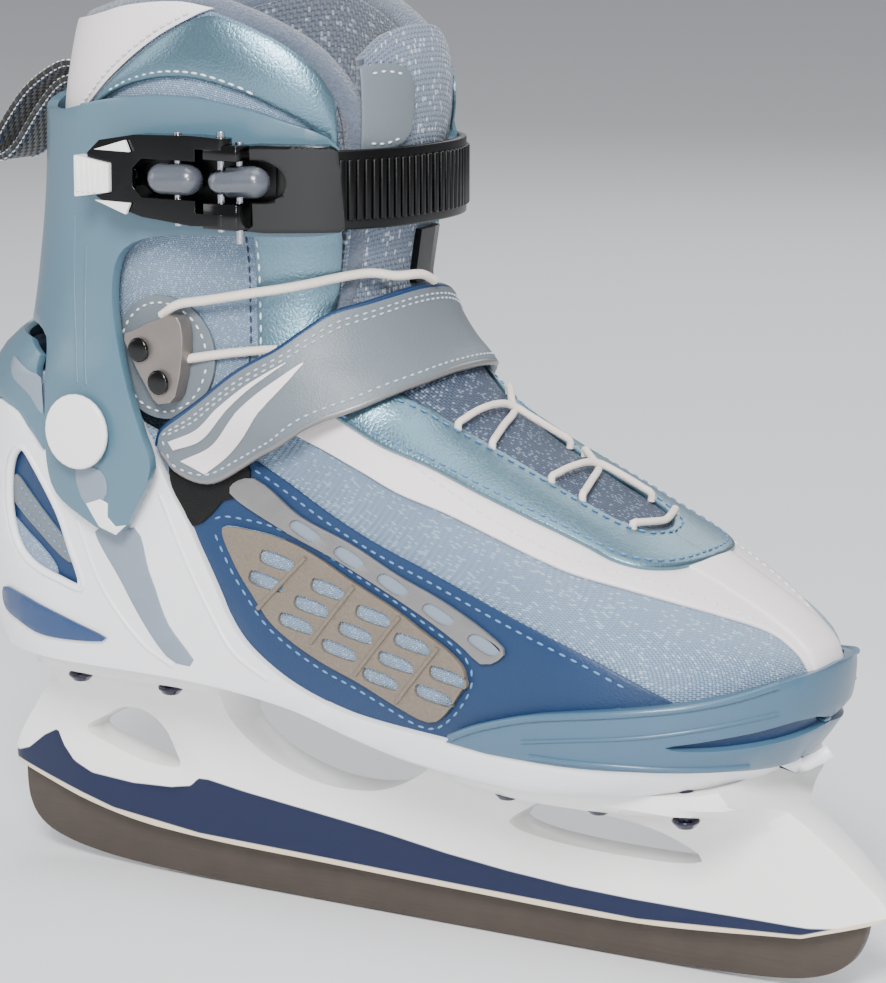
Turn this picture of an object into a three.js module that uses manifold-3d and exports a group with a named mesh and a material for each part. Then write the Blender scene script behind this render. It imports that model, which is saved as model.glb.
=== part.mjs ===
// A right-foot ice skate: soft boot, hinged cuff, ratchet buckle, instep strap, laces, blade holder and steel runner.
// Millimetres. +X runs to the toe, +Y to the inner (medial) side, +Z up.
// The origin is on the ice, at the middle of the runner's flat, on the centre plane.
import * as THREE from "three";
import { mergeVertices } from "three/addons/utils/BufferGeometryUtils.js";
import Module from "manifold-3d";

const wasm = await Module();
wasm.setup();

// ---------------------------------------------------------------- driving dimensions
const GAP = 0.3; // between pieces that touch
const OUTER = -1; // the side of the buckle
const INNER = 1;

const upperWall = 3.2; // soft boot wall
const shellWall = 3; // white outsole shell
const soleSlab = 4; // floor of the outsole shell
const footbedThick = 3;
const capWall = 3; // toe cap
const overlayThick = 1; // stitched overlays
const shaftWall = 7; // padded quarters round the ankle
const tongueWall = 6;
const cuffClear = 1.2; // running clearance between cuff and shell
const cuffWall = 3;

const pivot = { x: -83, z: 139, pinRadius: 3, capRadius: 10.5, capThick: 2, clear: 0.4 };
const cuffTravel = THREE.MathUtils.degToRad(8); // forward flex of the cuff

const runner = { thick: 3.6, flatFrom: -30, flatTo: 40, rocker: 3300, depth: 9 };
const holder = { web: 7, slotClear: 0.3, heelFlange: 25, ballFlange: 33, heelTop: 69, ballTop: 56.5, flangeThick: 3.5 };
const bolt = { radius: 2.4, head: 4.2, headHigh: 3, clear: 0.35, rearX: -72, frontX: 103 };
const rivet = { head: 3.8, shank: 2, domeHigh: 2.6, clear: 0.3 };
const heelRivets = [-106, -74];
const ballRivets = [42, 70, 96];

const band = { low: 196, high: 219, thick: 2.4, rib: 0.7, pitch: 4.2 }; // ladder strap
const buckle = { low: 199, high: 223, pinX: -32, deep: 6 };
const pin = { radius: 1.1, clear: 0.3 };
const lace = { radius: 1.5 };
const strapThick = 2.6; // instep strap
const strapReach = 2.3; // from the boot to the strap's inner face

// ---------------------------------------------------------------- small tools
// A smooth curve through [position, value] pairs.
function curve(pairs) {
  const slope = pairs.map((p, i) => {
    const before = pairs[Math.max(0, i - 1)];
    const after = pairs[Math.min(pairs.length - 1, i + 1)];
    return (after[1] - before[1]) / (after[0] - before[0]);
  });
  return (at) => {
    const x = THREE.MathUtils.clamp(at, pairs[0][0], pairs.at(-1)[0]);
    let i = 0;
    while (i < pairs.length - 2 && pairs[i + 1][0] < x) i++;
    const [x0, y0] = pairs[i];
    const [x1, y1] = pairs[i + 1];
    const h = x1 - x0;
    const t = (x - x0) / h;
    const s = 1 - t;
    return (
      s * s * (1 + 2 * t) * y0 +
      t * s * s * h * slope[i] +
      t * t * (3 - 2 * t) * y1 -
      t * t * s * h * slope[i + 1]
    );
  };
}

// A closed three.js geometry as a manifold solid.
function solid(geometry) {
  const bare = geometry.index ? geometry.toNonIndexed() : geometry.clone();
  for (const name of Object.keys(bare.attributes)) {
    if (name !== "position") bare.deleteAttribute(name);
  }
  const merged = mergeVertices(bare, 1e-4);
  const made = new wasm.Manifold(
    new wasm.Mesh({
      numProp: 3,
      vertProperties: merged.attributes.position.array,
      triVerts: new Uint32Array(merged.index.array),
    }),
  );
  return made;
}

// A manifold solid as a three.js geometry.
function geometryOf(made) {
  const { numProp, numVert, vertProperties, triVerts } = made.getMesh();
  const position = new Float32Array(numVert * 3);
  for (let i = 0; i < numVert; i++) {
    position.set(vertProperties.subarray(i * numProp, i * numProp + 3), i * 3);
  }
  const geometry = new THREE.BufferGeometry();
  geometry.setAttribute("position", new THREE.BufferAttribute(position, 3));
  geometry.setIndex(new THREE.BufferAttribute(triVerts, 1));
  geometry.computeVertexNormals();
  return geometry;
}

const join = (first, ...rest) => rest.reduce((sum, next) => sum.add(next), first);
const cutAway = (first, ...rest) => rest.reduce((left, next) => left.subtract(next), first);
const biggest = (made) => made.decompose().sort((a, b) => b.volume() - a.volume())[0];

// Rings of points, stacked, closed by a flat cap at each end.
function loft(rings) {
  const count = rings[0].length;
  const points = rings.flat();
  const index = [];
  for (let r = 0; r < rings.length - 1; r++) {
    for (let i = 0; i < count; i++) {
      const a = r * count + i;
      const b = r * count + ((i + 1) % count);
      index.push(a, b, a + count, b, b + count, a + count);
    }
  }
  const middle = (ring) =>
    ring.reduce((sum, p) => sum.add(p), new THREE.Vector3()).divideScalar(ring.length);
  const low = points.push(middle(rings[0])) - 1;
  const high = points.push(middle(rings.at(-1))) - 1;
  const top = (rings.length - 1) * count;
  for (let i = 0; i < count; i++) {
    const next = (i + 1) % count;
    index.push(low, next, i);
    index.push(high, top + i, top + next);
  }
  const geometry = new THREE.BufferGeometry().setFromPoints(points);
  geometry.setIndex(index);
  const made = solid(geometry);
  return made.volume() < 0 ? flip(geometry) : made;
}

function flip(geometry) {
  const index = geometry.index.array;
  for (let i = 0; i < index.length; i += 3) {
    [index[i], index[i + 1]] = [index[i + 1], index[i]];
  }
  return solid(geometry);
}

const between = (from, to, count) =>
  Array.from({ length: count + 1 }, (_, i) => from + ((to - from) * i) / count);

const flatShape = (points) => new THREE.Shape(points.map(([a, b]) => new THREE.Vector2(a, b)));

function roundShape(points, steps = 3) {
  const path = new THREE.CatmullRomCurve3(
    points.map(([a, b]) => new THREE.Vector3(a, b, 0)),
    true,
    "catmullrom",
    0.5,
  );
  return new THREE.Shape(
    path.getPoints(points.length * steps).slice(0, -1).map((p) => new THREE.Vector2(p.x, p.y)),
  );
}

// An outline drawn in side view (x, z), extruded from y0 to y1.
function sideBlock(shape, y0, y1) {
  const geometry = new THREE.ExtrudeGeometry(shape, { depth: y1 - y0, bevelEnabled: false });
  geometry.rotateX(Math.PI / 2);
  geometry.translate(0, y1, 0);
  return solid(geometry);
}

// An outline drawn in end view (y, z), extruded from x0 to x1.
function endBlock(shape, x0, x1) {
  const geometry = new THREE.ExtrudeGeometry(shape, { depth: x1 - x0, bevelEnabled: false });
  geometry.applyMatrix4(new THREE.Matrix4().makeBasis(
    new THREE.Vector3(0, 1, 0), new THREE.Vector3(0, 0, 1), new THREE.Vector3(1, 0, 0),
  ));
  geometry.translate(x0, 0, 0);
  return solid(geometry);
}

// An outline drawn in plan (x, y), extruded from z0 to z1.
function planBlock(shape, z0, z1) {
  const geometry = new THREE.ExtrudeGeometry(shape, { depth: z1 - z0, bevelEnabled: false });
  geometry.translate(0, 0, z0);
  return solid(geometry);
}

function box(x0, x1, y0, y1, z0, z1) {
  const geometry = new THREE.BoxGeometry(x1 - x0, y1 - y0, z1 - z0);
  geometry.translate((x0 + x1) / 2, (y0 + y1) / 2, (z0 + z1) / 2);
  return solid(geometry);
}

function rodY(x, z, radius, y0, y1, sides = 20) {
  const geometry = new THREE.CylinderGeometry(radius, radius, y1 - y0, sides);
  geometry.translate(x, (y0 + y1) / 2, z);
  return solid(geometry);
}

function rodZ(x, y, radius, z0, z1, sides = 14) {
  const geometry = new THREE.CylinderGeometry(radius, radius, z1 - z0, sides);
  geometry.rotateX(Math.PI / 2);
  geometry.translate(x, y, (z0 + z1) / 2);
  return solid(geometry);
}

// A turned profile of [radius, height] about +Z, standing at (x, y, z).
function turned(profile, x, y, z, sides = 14) {
  const geometry = new THREE.LatheGeometry(
    profile.map(([r, h]) => new THREE.Vector2(r, h)), sides,
  );
  geometry.rotateX(Math.PI / 2);
  geometry.translate(x, y, z);
  return solid(geometry);
}

// A round cord through points.
function cord(points, radius, steps, sides = 8) {
  const path = new THREE.CatmullRomCurve3(points.map((p) => new THREE.Vector3(...p)));
  const section = new THREE.Shape();
  section.absarc(0, 0, radius, 0, Math.PI * 2);
  const ring = section.getPoints(sides / 4).slice(0, -1);
  return solid(
    new THREE.ExtrudeGeometry(new THREE.Shape(ring), { steps, extrudePath: path, bevelEnabled: false }),
  );
}

// ---------------------------------------------------------------- the shape of the boot
// Plan sections at each height: rear and front end on the centre plane, and half width.
const footRear = curve([
  [54, -118], [62, -131], [70, -137], [80, -140.5], [92, -142], [110, -142.5],
  [130, -141], [146, -138.5], [154, -134], [160, -127], [166, -118],
]);
const footFront = curve([
  [54, 90], [60, 104], [66, 113], [76, 120.5], [86, 122.5], [92, 121], [96, 117], [100, 111],
  [105, 102], [111, 90], [117, 76], [124, 61], [131, 46], [137, 34], [144, 22], [150, 15],
  [157, 8.5], [166, 1],
]);
const footPlan = curve([
  [-143, 33], [-120, 34], [-90, 35.5], [-50, 36], [-20, 38], [20, 43], [50, 46], [75, 46.5],
  [100, 44], [124, 40],
]);
const foreFullness = curve([[54, 0.86], [62, 0.95], [70, 1], [90, 1.02], [105, 1], [120, 0.94], [140, 0.9], [166, 0.95]]);
const heelFullness = curve([[54, 0.85], [70, 0.95], [92, 1], [110, 1.04], [137, 1.12], [166, 1.14]]);
const footToe = curve([[54, 50], [86, 55], [100, 60], [140, 62], [166, 60]]);

const foot = {
  rear: footRear,
  front: footFront,
  half: (x, z) => {
    const heel = THREE.MathUtils.smoothstep(-x, 20, 80);
    return footPlan(x) * (foreFullness(z) * (1 - heel) + heelFullness(z) * heel);
  },
  heelRound: () => 36,
  toeRound: footToe,
  levels: [54, 60, 66, 73, 80, 87, 93, 99, 106, 113, 121, 129, 137, 145, 152, 159, 166],
  ring: 38,
};

const shaft = {
  rear: curve([[140, -121], [165, -120], [185, -117], [205, -114.5], [222, -113.5], [240, -112], [262, -110]]),
  front: curve([[140, 14], [150, 5], [165, -3], [178, -6], [200, -3], [215, -1], [228, 1], [240, 1], [262, -6]]),
  half: (x, z) => shaftHalf(z),
  heelRound: () => 42,
  toeRound: () => 58,
  levels: [140, 150, 160, 170, 182, 196, 210, 224, 236, 248, 262],
  ring: 34,
};
const shaftHalf = curve([[140, 40], [185, 40], [205, 41.5], [230, 44], [262, 43]]);

// The cuff's inner face clears both the shell below it and the shaft inside it.
const cuffForm = {
  rear: curve([[100, -132], [150, -126], [165, -121.5], [185, -118.5], [205, -116], [240, -113.5]]),
  front: curve([[100, 20], [150, 8], [178, -3], [200, 0], [240, 3]]),
  half: (x, z) => cuffHalf(z),
  heelRound: () => 42,
  toeRound: () => 60,
  levels: [100, 112, 124, 136, 148, 160, 172, 184, 196, 208, 220, 236],
  ring: 34,
};
const cuffHalf = curve([
  [100, 41.5], [124, 44], [137, 45], [150, 45.2], [165, 44], [185, 42.6], [205, 43.1], [236, 45.5],
]);

const roundEnd = (t) => {
  const s = THREE.MathUtils.clamp(t, 0, 1);
  return (1 - (1 - s) ** 2.2) ** (1 / 2.2);
};

// Where a form's ends lie at a height, moved out by a wall thickness square to the surface.
function ends(form, z, out) {
  const lean = (end) => out * Math.hypot(1, end(z + 0.5) - end(z - 0.5));
  return { rear: form.rear(z) - lean(form.rear), front: form.front(z) + lean(form.front) };
}

function halfWidth(form, x, z, out = 0) {
  const { rear, front } = ends(form, z, out);
  const round = roundEnd((x - rear) / form.heelRound(z)) * roundEnd((front - x) / form.toeRound(z));
  return (form.half(x, z) + out) * round;
}

function sectionRing(form, z, out) {
  const { rear, front } = ends(form, z, out);
  return Array.from({ length: form.ring }, (_, i) => {
    const turn = (i / form.ring) * Math.PI * 2;
    const x = rear + ((front - rear) * (1 - Math.cos(turn))) / 2;
    return new THREE.Vector3(x, -Math.sign(Math.sin(turn)) * halfWidth(form, x, z, out), z);
  });
}

const fullForm = (form, out) => loft(form.levels.map((z) => sectionRing(form, z, out)));
const skin = (form, inside, outside) => fullForm(form, outside).subtract(fullForm(form, inside));

// ---------------------------------------------------------------- outlines in side view
const wide = 80; // half length of a cut that goes right through

// Underside of the outsole, heel to toe.
const soleLine = [
  [-150, 82], [-138, 74], [-125, 70], [-50, 69], [-20, 66.5], [0, 61.5], [22, 57], [57, 55],
  [95, 57], [115, 62], [126, 70], [135, 84],
];
const soleAt = curve(soleLine);
const soleSteps = Array.from({ length: 30 }, (_, i) => -150 + (i * 285) / 29);
const soleCurve = (up) => soleSteps.map((x) => [x, soleAt(x) + up]);
const belowSole = (up) =>
  sideBlock(flatShape([...soleCurve(up), [135, 0], [-150, 0]]), -wide, wide);
const aboveSole = (up, top) =>
  sideBlock(flatShape([...soleCurve(up), [135, top], [-150, top]]), -wide, wide);

// Top edge of the soft boot, under the instep strap and inside the cuff.
const bootTop = [[-160, 158], [-120, 156], [-100, 152], [-83, 148], [-62, 138], [-45, 137], [-30, 142], [-15, 150], [-5, 155], [12, 158]];
// Bottom edge of the ankle quarters: clears the boot through the cuff's travel.
const quarterBottom = bootTop.map(([x, z]) => {
  const drop = Math.max(0, x - pivot.x) * Math.tan(cuffTravel);
  return [x, z + 3 + drop];
});
const collarTop = [[-125, 244], [-108, 247], [-88, 251], [-69, 255], [-52, 257], [-38.5, 254], [-25, 248], [-16, 241], [-10, 230], [-8, 218]];

// ---------------------------------------------------------------- assembly
const model = new THREE.Group();
const finishes = {
  steel: { color: 0x8f8b85, roughness: 0.45, metalness: 0.9 },
  whitePlastic: { color: 0xf0efec, roughness: 0.35, metalness: 0 },
  bluePlastic: { color: 0x8fb0bf, roughness: 0.4, metalness: 0 },
  blackPlastic: { color: 0x15151a, roughness: 0.4, metalness: 0 },
  greyPlastic: { color: 0x8d9096, roughness: 0.45, metalness: 0 },
  mesh: { color: 0xa9c3d8, roughness: 0.8, metalness: 0 },
  silverLeather: { color: 0x9fc3cf, roughness: 0.35, metalness: 0.4 },
  greyLeather: { color: 0x98a3aa, roughness: 0.5, metalness: 0.1 },
  lining: { color: 0x8d8f96, roughness: 0.95, metalness: 0 },
  navy: { color: 0x3d6c97, roughness: 0.5, metalness: 0 },
  vent: { color: 0xa0988d, roughness: 0.5, metalness: 0.2 },
  lace: { color: 0xe9e2da, roughness: 0.8, metalness: 0 },
  metal: { color: 0xc8c8cc, roughness: 0.25, metalness: 1 },
  webbing: { color: 0x14161d, roughness: 0.9, metalness: 0 },
};
const materials = {};
for (const [name, look] of Object.entries(finishes)) {
  materials[name] = new THREE.MeshStandardMaterial(look);
}

function add(name, made, finish) {
  const mesh = new THREE.Mesh(geometryOf(biggest(made)), materials[finish]);
  mesh.name = name;
  model.add(mesh);
}

// ---------------------------------------------------------------- runner, holder and their fasteners
const holderLow = curve([[-142, 27], [-105, 17.5], [-74, 14.5], [-28, 14.2], [15, 13], [71, 12.5], [120, 17], [143, 25]]);


// The line where the runner's top edge meets the holder's slot.
const rail = (up) => between(-137, 133, 12).map((x) => [x, holderLow(x) + runner.depth + up]);

function runnerOutline() {
  const bottom = between(-118, 112, 14).map((x) => {
    const past = Math.max(runner.flatFrom - x, x - runner.flatTo, 0);
    return [x, (past * past) / (2 * runner.rocker)];
  });
  const front = [[122, 4.5], [130, 10.5], [134, 17], [136, 21]];
  const rear = [[-140, 24], [-139, 16], [-134.5, 9.5], [-128, 5]];
  return [...bottom, ...front, ...rail(0).reverse(), ...rear];
}

// Two posts stand up from the runner under the bolts.
const postTop = 34;
const posts = (grow) => [bolt.rearX, bolt.frontX].map((x) =>
  box(x - 5 - grow, x + 5 + grow, -runner.thick / 2 - grow, runner.thick / 2 + grow, 18, postTop + grow));

function makeRunner() {
  const half = runner.thick / 2;
  return join(sideBlock(flatShape(runnerOutline()), -half, half), ...posts(0));
}

const holderOutline = () => [
  ...between(-142, 143, 12).map((x) => [x, holderLow(x)]),
  [141, 30], [134, 36], [121, 45], [112, 53], [116, 90],
  [30, 90], [28, 57], [18, 51], [6, 44], [-3, 39.5], [-16, 36], [-31, 36.5], [-47, 41], [-59, 48], [-62, 55], [-50, 65], [-47, 90],
  [-118, 90], [-122, 63], [-143, 34],
];
const rearWindow = [[-115, 40.5], [-108, 46], [-101, 49], [-93, 48.5], [-86, 43], [-82, 34], [-92, 33.5], [-105, 36.5]];
const frontWindow = [[30, 34], [44, 42.5], [58, 42], [76, 39], [89, 32.5], [82, 30.2], [55, 30], [34, 31]];

// End-view outline of a tower: narrow web below, spreading into the flange.
function towerOutline(flangeHalf, flangeZ) {
  const right = [
    [holder.web - 1, 0], [holder.web, 22], [holder.web, flangeZ - 26],
    [holder.web + 2.5, flangeZ - 13], [flangeHalf - 9, flangeZ - 5 - holder.flangeThick],
    [flangeHalf, flangeZ - 1.5 - holder.flangeThick], [flangeHalf, 120],
  ];
  return flatShape([...right, ...right.map(([y, z]) => [-y, z]).reverse()]);
}

function makeHolder() {
  const splitX = -20;
  const side = sideBlock(flatShape(holderOutline()), -wide, wide);
  const rear = side.intersect(endBlock(towerOutline(holder.heelFlange, holder.heelTop), -160, splitX));
  const front = side.intersect(endBlock(towerOutline(holder.ballFlange, holder.ballTop), splitX, 160));
  const slotHalf = runner.thick / 2 + holder.slotClear;
  const slot = sideBlock(flatShape([
    ...rail(GAP).reverse(), [-140.6, 33], [-140.6, 0], [137.6, 0], [137.6, 30],
  ]), -slotHalf, slotHalf);
  const bores = [bolt.rearX, bolt.frontX].map((x) => {
    const seat = boltHead(x) - GAP;
    return join(
      rodZ(x, 0, bolt.radius + bolt.clear, 20, 90),
      rodZ(x, 0, bolt.head + bolt.clear, seat, 90),
    );
  });
  const rivetHoles = rivetPlaces().map(([x, y]) => join(
    rodZ(x, y, rivet.shank + rivet.clear, 30, 90, 12),
    rodZ(x, y, rivet.head + rivet.clear, 30, rivetSeat(x), 12),
  ));
  return cutAway(
    join(rear, front), aboveSole(-GAP, 130), slot, ...posts(GAP), ...bores, ...rivetHoles,
    sideBlock(roundShape(rearWindow), -wide, wide), sideBlock(roundShape(frontWindow), -wide, wide),
  );
}

function rivetPlaces() {
  const places = [];
  for (const side of [OUTER, INNER]) {
    for (const x of heelRivets) places.push([x, side * (holder.heelFlange - 5)]);
    for (const x of ballRivets) places.push([x, side * (holder.ballFlange - 6)]);
  }
  return places;
}

// Each rivet head sits in a flat seat under the flange, its shank in the outsole.
const rivetSeat = (x) => (x < 0 ? holder.heelTop : holder.ballTop) - holder.flangeThick - 3.4;
function makeRivet(x, y) {
  const seat = rivetSeat(x) - GAP;
  const top = soleAt(x) + soleSlab * 0.6 - seat;
  return turned([
    [0, -rivet.domeHigh], [rivet.head * 0.6, -rivet.domeHigh * 0.85], [rivet.head, -0.6],
    [rivet.head, 0], [rivet.shank, 0], [rivet.shank, top], [0, top],
  ], x, y, seat, 12);
}

// Underside of a bolt's head: the whole head lies below the outsole.
const boltHead = (x) => soleAt(x) - bolt.headHigh - 1;
function makeBolt(x) {
  const head = boltHead(x);
  return turned([
    [0, postTop + GAP], [bolt.radius, postTop + GAP], [bolt.radius, head],
    [bolt.head, head], [bolt.head, head + bolt.headHigh], [0, head + bolt.headHigh],
  ], x, 0, 0);
}

add("runner", makeRunner(), "steel");
add("blade_holder", makeHolder(), "whitePlastic");
add("runner_bolt_rear", makeBolt(bolt.rearX), "metal");
add("runner_bolt_front", makeBolt(bolt.frontX), "metal");
rivetPlaces().forEach(([x, y], i) => add(`holder_rivet_${i + 1}`, makeRivet(x, y), "blackPlastic"));

// ---------------------------------------------------------------- outsole shell
// Side outline of the shell: sole rim, heel counter and the arm that carries the cuff pivot.
const shellOutline = [
  [-160, 40], [-160, 143], [-118, 143], [-110, 140.5], [-104, 134], [-99, 128.5], [-97, 134], [-95, 145], [-88, 150], [-80, 150],
  [-70, 146], [-63, 129], [-53, 112], [-44, 97], [-36, 85], [-18, 74], [5, 68], [35, 66],
  [60, 64.5], [100, 65], [140, 72], [140, 40],
];
const toeCapTop = [[33, 66.6], [44, 72], [60, 78], [85, 82], [102, 84.5], [115, 87.5], [140, 92]];
const toeCapLow = [[60, 65], [84, 65], [102, 64], [112, 61.5], [140, 61.5]];
const toeCapBlock = (down) =>
  sideBlock(flatShape([...toeCapTop.map(([x, z]) => [x - down, z]), ...toeCapLow.map(([x, z]) => [x, z - down]).reverse()]), -wide, wide);
const heelOpening = [[-110, 131], [-105, 126], [-98, 114], [-94, 103], [-90.5, 92], [-100, 93.5], [-110, 97], [-116, 103], [-118, 114], [-115, 125]];

function makeShell() {
  const wall = skin(foot, GAP, GAP + shellWall).intersect(
    sideBlock(flatShape(shellOutline), -wide, wide),
  );
  const slab = fullForm(foot, GAP + shellWall).intersect(belowSole(soleSlab));
  const pinHole = rodY(pivot.x, pivot.z, pivot.pinRadius + pin.clear, -wide, wide);
  const rivetHoles = rivetPlaces().map(([x, y]) =>
    rodZ(x, y, rivet.shank + rivet.clear, 30, soleAt(x) + soleSlab * 0.8, 10));
  return cutAway(
    join(wall, slab), belowSole(0), skin(foot, 0, 20).intersect(toeCapBlock(GAP)), sideBlock(roundShape(heelOpening), -wide, wide), pinHole, ...rivetHoles,
  );
}
add("outsole_shell", makeShell(), "whitePlastic");

// Blue counter that fills the heel between the shell and the cuff.
const counterWall = 2.2;
const counterOutline = [
  [-160, 144], [-118, 144], [-109.5, 141.5], [-103.4, 134.6], [-99.6, 131], [-99.2, 158], [-105, 162], [-160, 164],
];
add("heel_counter",
  skin(foot, GAP, GAP + counterWall).intersect(sideBlock(flatShape(counterOutline), -wide, wide)),
  "bluePlastic");

const badgeOutline = [[-118, 87], [-108, 86], [-94, 82.5], [-80, 78], [-92, 76.6], [-104, 77], [-114, 79.5], [-118, 83]];
add("heel_badge",
  skin(foot, shellWall + 2 * GAP, shellWall + 2 * GAP + 0.8).intersect(
    sideBlock(roundShape(badgeOutline, 2), -wide, 0)),
  "navy");

// ---------------------------------------------------------------- soft boot
const throat = [[100, 0.1], [90, 7], [70, 11], [40, 13.5], [15, 16], [-5, 18]];
const throatShape = (wider) => flatShape([
  ...throat.map(([x, y]) => [x + (y < 1 ? wider : 0), -y - wider]),
  [-14, -20 - wider], [-14, 20 + wider],
  ...throat.map(([x, y]) => [x + (y < 1 ? wider : 0), y + wider]).reverse(),
]);

function makeUpper() {
  const whole = skin(foot, -upperWall, 0);
  const slab = aboveSole(soleSlab + GAP, 300);
  const top = sideBlock(flatShape([...bootTop, [12, 300], [-160, 300]]), -wide, wide);
  return cutAway(whole.intersect(slab), top, planBlock(throatShape(0), 96, 300));
}
add("boot_upper", makeUpper(), "mesh");

add("footbed",
  fullForm(foot, -upperWall - GAP).intersect(aboveSole(soleSlab + GAP, 300))
    .intersect(belowSole(soleSlab + GAP + footbedThick)),
  "lining");

add("toe_cap",
  skin(foot, GAP, GAP + capWall).intersect(toeCapBlock(0)),
  "bluePlastic");

// Silver eyestay: a band on each side of the throat, joined across its front end.
function makeEyestay() {
  const band = planBlock(flatShape([
    [102, 0.1], [98, -12], [88, -22], [70, -27], [45, -29], [20, -30], [8, -31], [8, 31],
    [20, 30], [45, 29], [70, 27], [88, 22], [98, 12],
  ]), 100, 152);
  return skin(foot, GAP, GAP + overlayThick).intersect(band)
    .subtract(planBlock(throatShape(0), 96, 300))
    .subtract(box(-60, 14, -wide, wide, 96, 300));
}
add("eyestay", makeEyestay(), "silverLeather");

// Vented grey panel and its overlay, one on each flank.
const ventOutline = [[-42, 117], [-34, 116], [-16, 111], [4, 104], [19, 97], [28, 88], [26, 79], [17, 75], [1, 78], [-16, 84], [-33, 97]];
for (const [side, name] of [[OUTER, "side_vent_outer"], [INNER, "side_vent_inner"]]) {
  const [y0, y1] = side < 0 ? [-wide, 0] : [0, wide];
  add(name,
    skin(foot, GAP, GAP + overlayThick + 0.6).intersect(sideBlock(roundShape(ventOutline, 2), y0, y1)),
    "vent");
}

// Lower tongue, in the throat under the laces.
add("tongue_lower",
  skin(foot, -upperWall - GAP - tongueWall, -upperWall - GAP)
    .intersect(planBlock(flatShape([[96, -10], [96, 10], [70, 22], [22, 27], [22, -27], [70, -22]]), 96, 300))
    .subtract(box(-60, 24, -wide, wide, 60, 300)),
  "mesh");

// Lace crossings over the throat: two legs each, joined where they cross.
const onInstep = (x, y) => {
  let low = 90;
  let high = 165;
  for (let i = 0; i < 24; i++) {
    const z = (low + high) / 2;
    if (halfWidth(foot, x, z, GAP + overlayThick) > Math.abs(y) && foot.front(z) > x) low = z;
    else high = z;
  }
  return low;
};
function laceLeg(x0, y0, x1, y1, rise) {
  const lift = lace.radius + GAP + 0.7;
  return cord([0, 0.25, 0.5, 0.75, 1].map((t) => {
    const x = x0 + (x1 - x0) * t;
    const y = y0 + (y1 - y0) * t;
    return [x, y, onInstep(x, y) + lift + (t === 0.5 ? rise : 0)];
  }), lace.radius, 10);
}
[28, 53].forEach((x, i) => {
  const y = 17 - i * 2;
  add(`lace_cross_${i + 1}`,
    join(laceLeg(x - 9, -y, x + 9, y, 0.4), laceLeg(x - 9, y, x + 9, -y, 1.6)), "lace");
});

// ---------------------------------------------------------------- cuff and its pivots
const cuffOutline = [
  [-160, 166.5], [-104, 165.5], [-98.2, 162], [-97.6, 128], [-95, 120.5], [-85, 115], [-73, 110],
  [-67, 117], [-60, 130], [-66, 150], [-72, 173], [-72, 184], [-69, 190], [-62, 193.5], [-50, 195],
  [-12, 196], [-8, 208], [-12, 222], [-30, 229], [-47, 232.5], [-75, 231], [-95, 226], [-112, 226], [-160, 231],
];
function makeCuff() {
  const wall = skin(cuffForm, 0, cuffWall).intersect(sideBlock(flatShape(cuffOutline), -wide, wide));
  const hole = rodY(pivot.x, pivot.z, pivot.pinRadius + pivot.clear, -wide, wide);
  const studs = ladderRivetX.map((x) => rodY(x, ladderRivetZ, 2 + GAP, 0, wide, 12));
  const baseStuds = buckleRivetX.map((x) => rodY(x, buckleMidZ, 2 + GAP, -wide, 0, 12));
  return cutAway(wall, hole, ...studs, ...baseStuds);
}
const ladderRivetX = [-52, -40];
const ladderRivetZ = (band.low + band.high) / 2;
const buckleRivetX = [-66, -54];
const buckleMidZ = (buckle.low + buckle.high) / 2;
add("cuff", makeCuff(), "bluePlastic");

for (const [side, name] of [[OUTER, "outer"], [INNER, "inner"]]) {
  const inside = halfWidth(foot, pivot.x, pivot.z, 0) + GAP;
  const face = halfWidth(cuffForm, pivot.x, pivot.z, cuffWall) + 0.8;
  const [p0, p1] = side < 0 ? [-face, -inside] : [inside, face];
  add(`pivot_pin_${name}`, rodY(pivot.x, pivot.z, pivot.pinRadius, p0, p1), "metal");
  const outer = face + GAP + pivot.capThick;
  const [c0, c1] = side < 0 ? [-outer, -face - GAP] : [face + GAP, outer];
  add(`pivot_cap_${name}`, rodY(pivot.x, pivot.z, pivot.capRadius, c0, c1, 28), "whitePlastic");
}

// ---------------------------------------------------------------- ankle quarters and tongue
const quarterFront = [[-8, 260], [-8, 218], [-12, 194], [-14, 180], [-18, 150], [-22, 130], [30, 130], [30, 260]];
function makeQuarters() {
  const wall = skin(shaft, -shaftWall, 0);
  const side = flatShape([...quarterBottom, [12, 250], [-8, 250], ...[...collarTop].reverse(), [-160, 244]]);
  return cutAway(
    wall.intersect(sideBlock(side, -wide, wide)),
    sideBlock(flatShape(quarterFront), -wide, wide),
    box(-40, 30, -21, 21, 130, 265),
  );
}
add("ankle_quarters", makeQuarters(), "silverLeather");

add("tongue_upper",
  skin(shaft, -tongueWall - 1, -1)
    .intersect(box(-30, 30, -20, 20, 178, 251)),
  "mesh");
add("tongue_label",
  skin(shaft, -1 + GAP, -0.1).intersect(box(-10, 30, -17, 17, 223, 242)), "greyLeather");

// Webbing pull loop at the back of the collar.
function makePull() {
  const root = ends(shaft, 236, 2 * GAP).rear;
  const shape = flatShape([
    [root, 238.5], [-120, 238.5], [-132, 231], [-142, 219], [-146, 211], [-143, 208], [-137, 207],
    [-133, 213], [-126, 223.5], [-119, 232.6], [root, 233.5],
  ]);
  return sideBlock(shape, -9, 9);
}
add("heel_pull", makePull(), "webbing");

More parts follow.
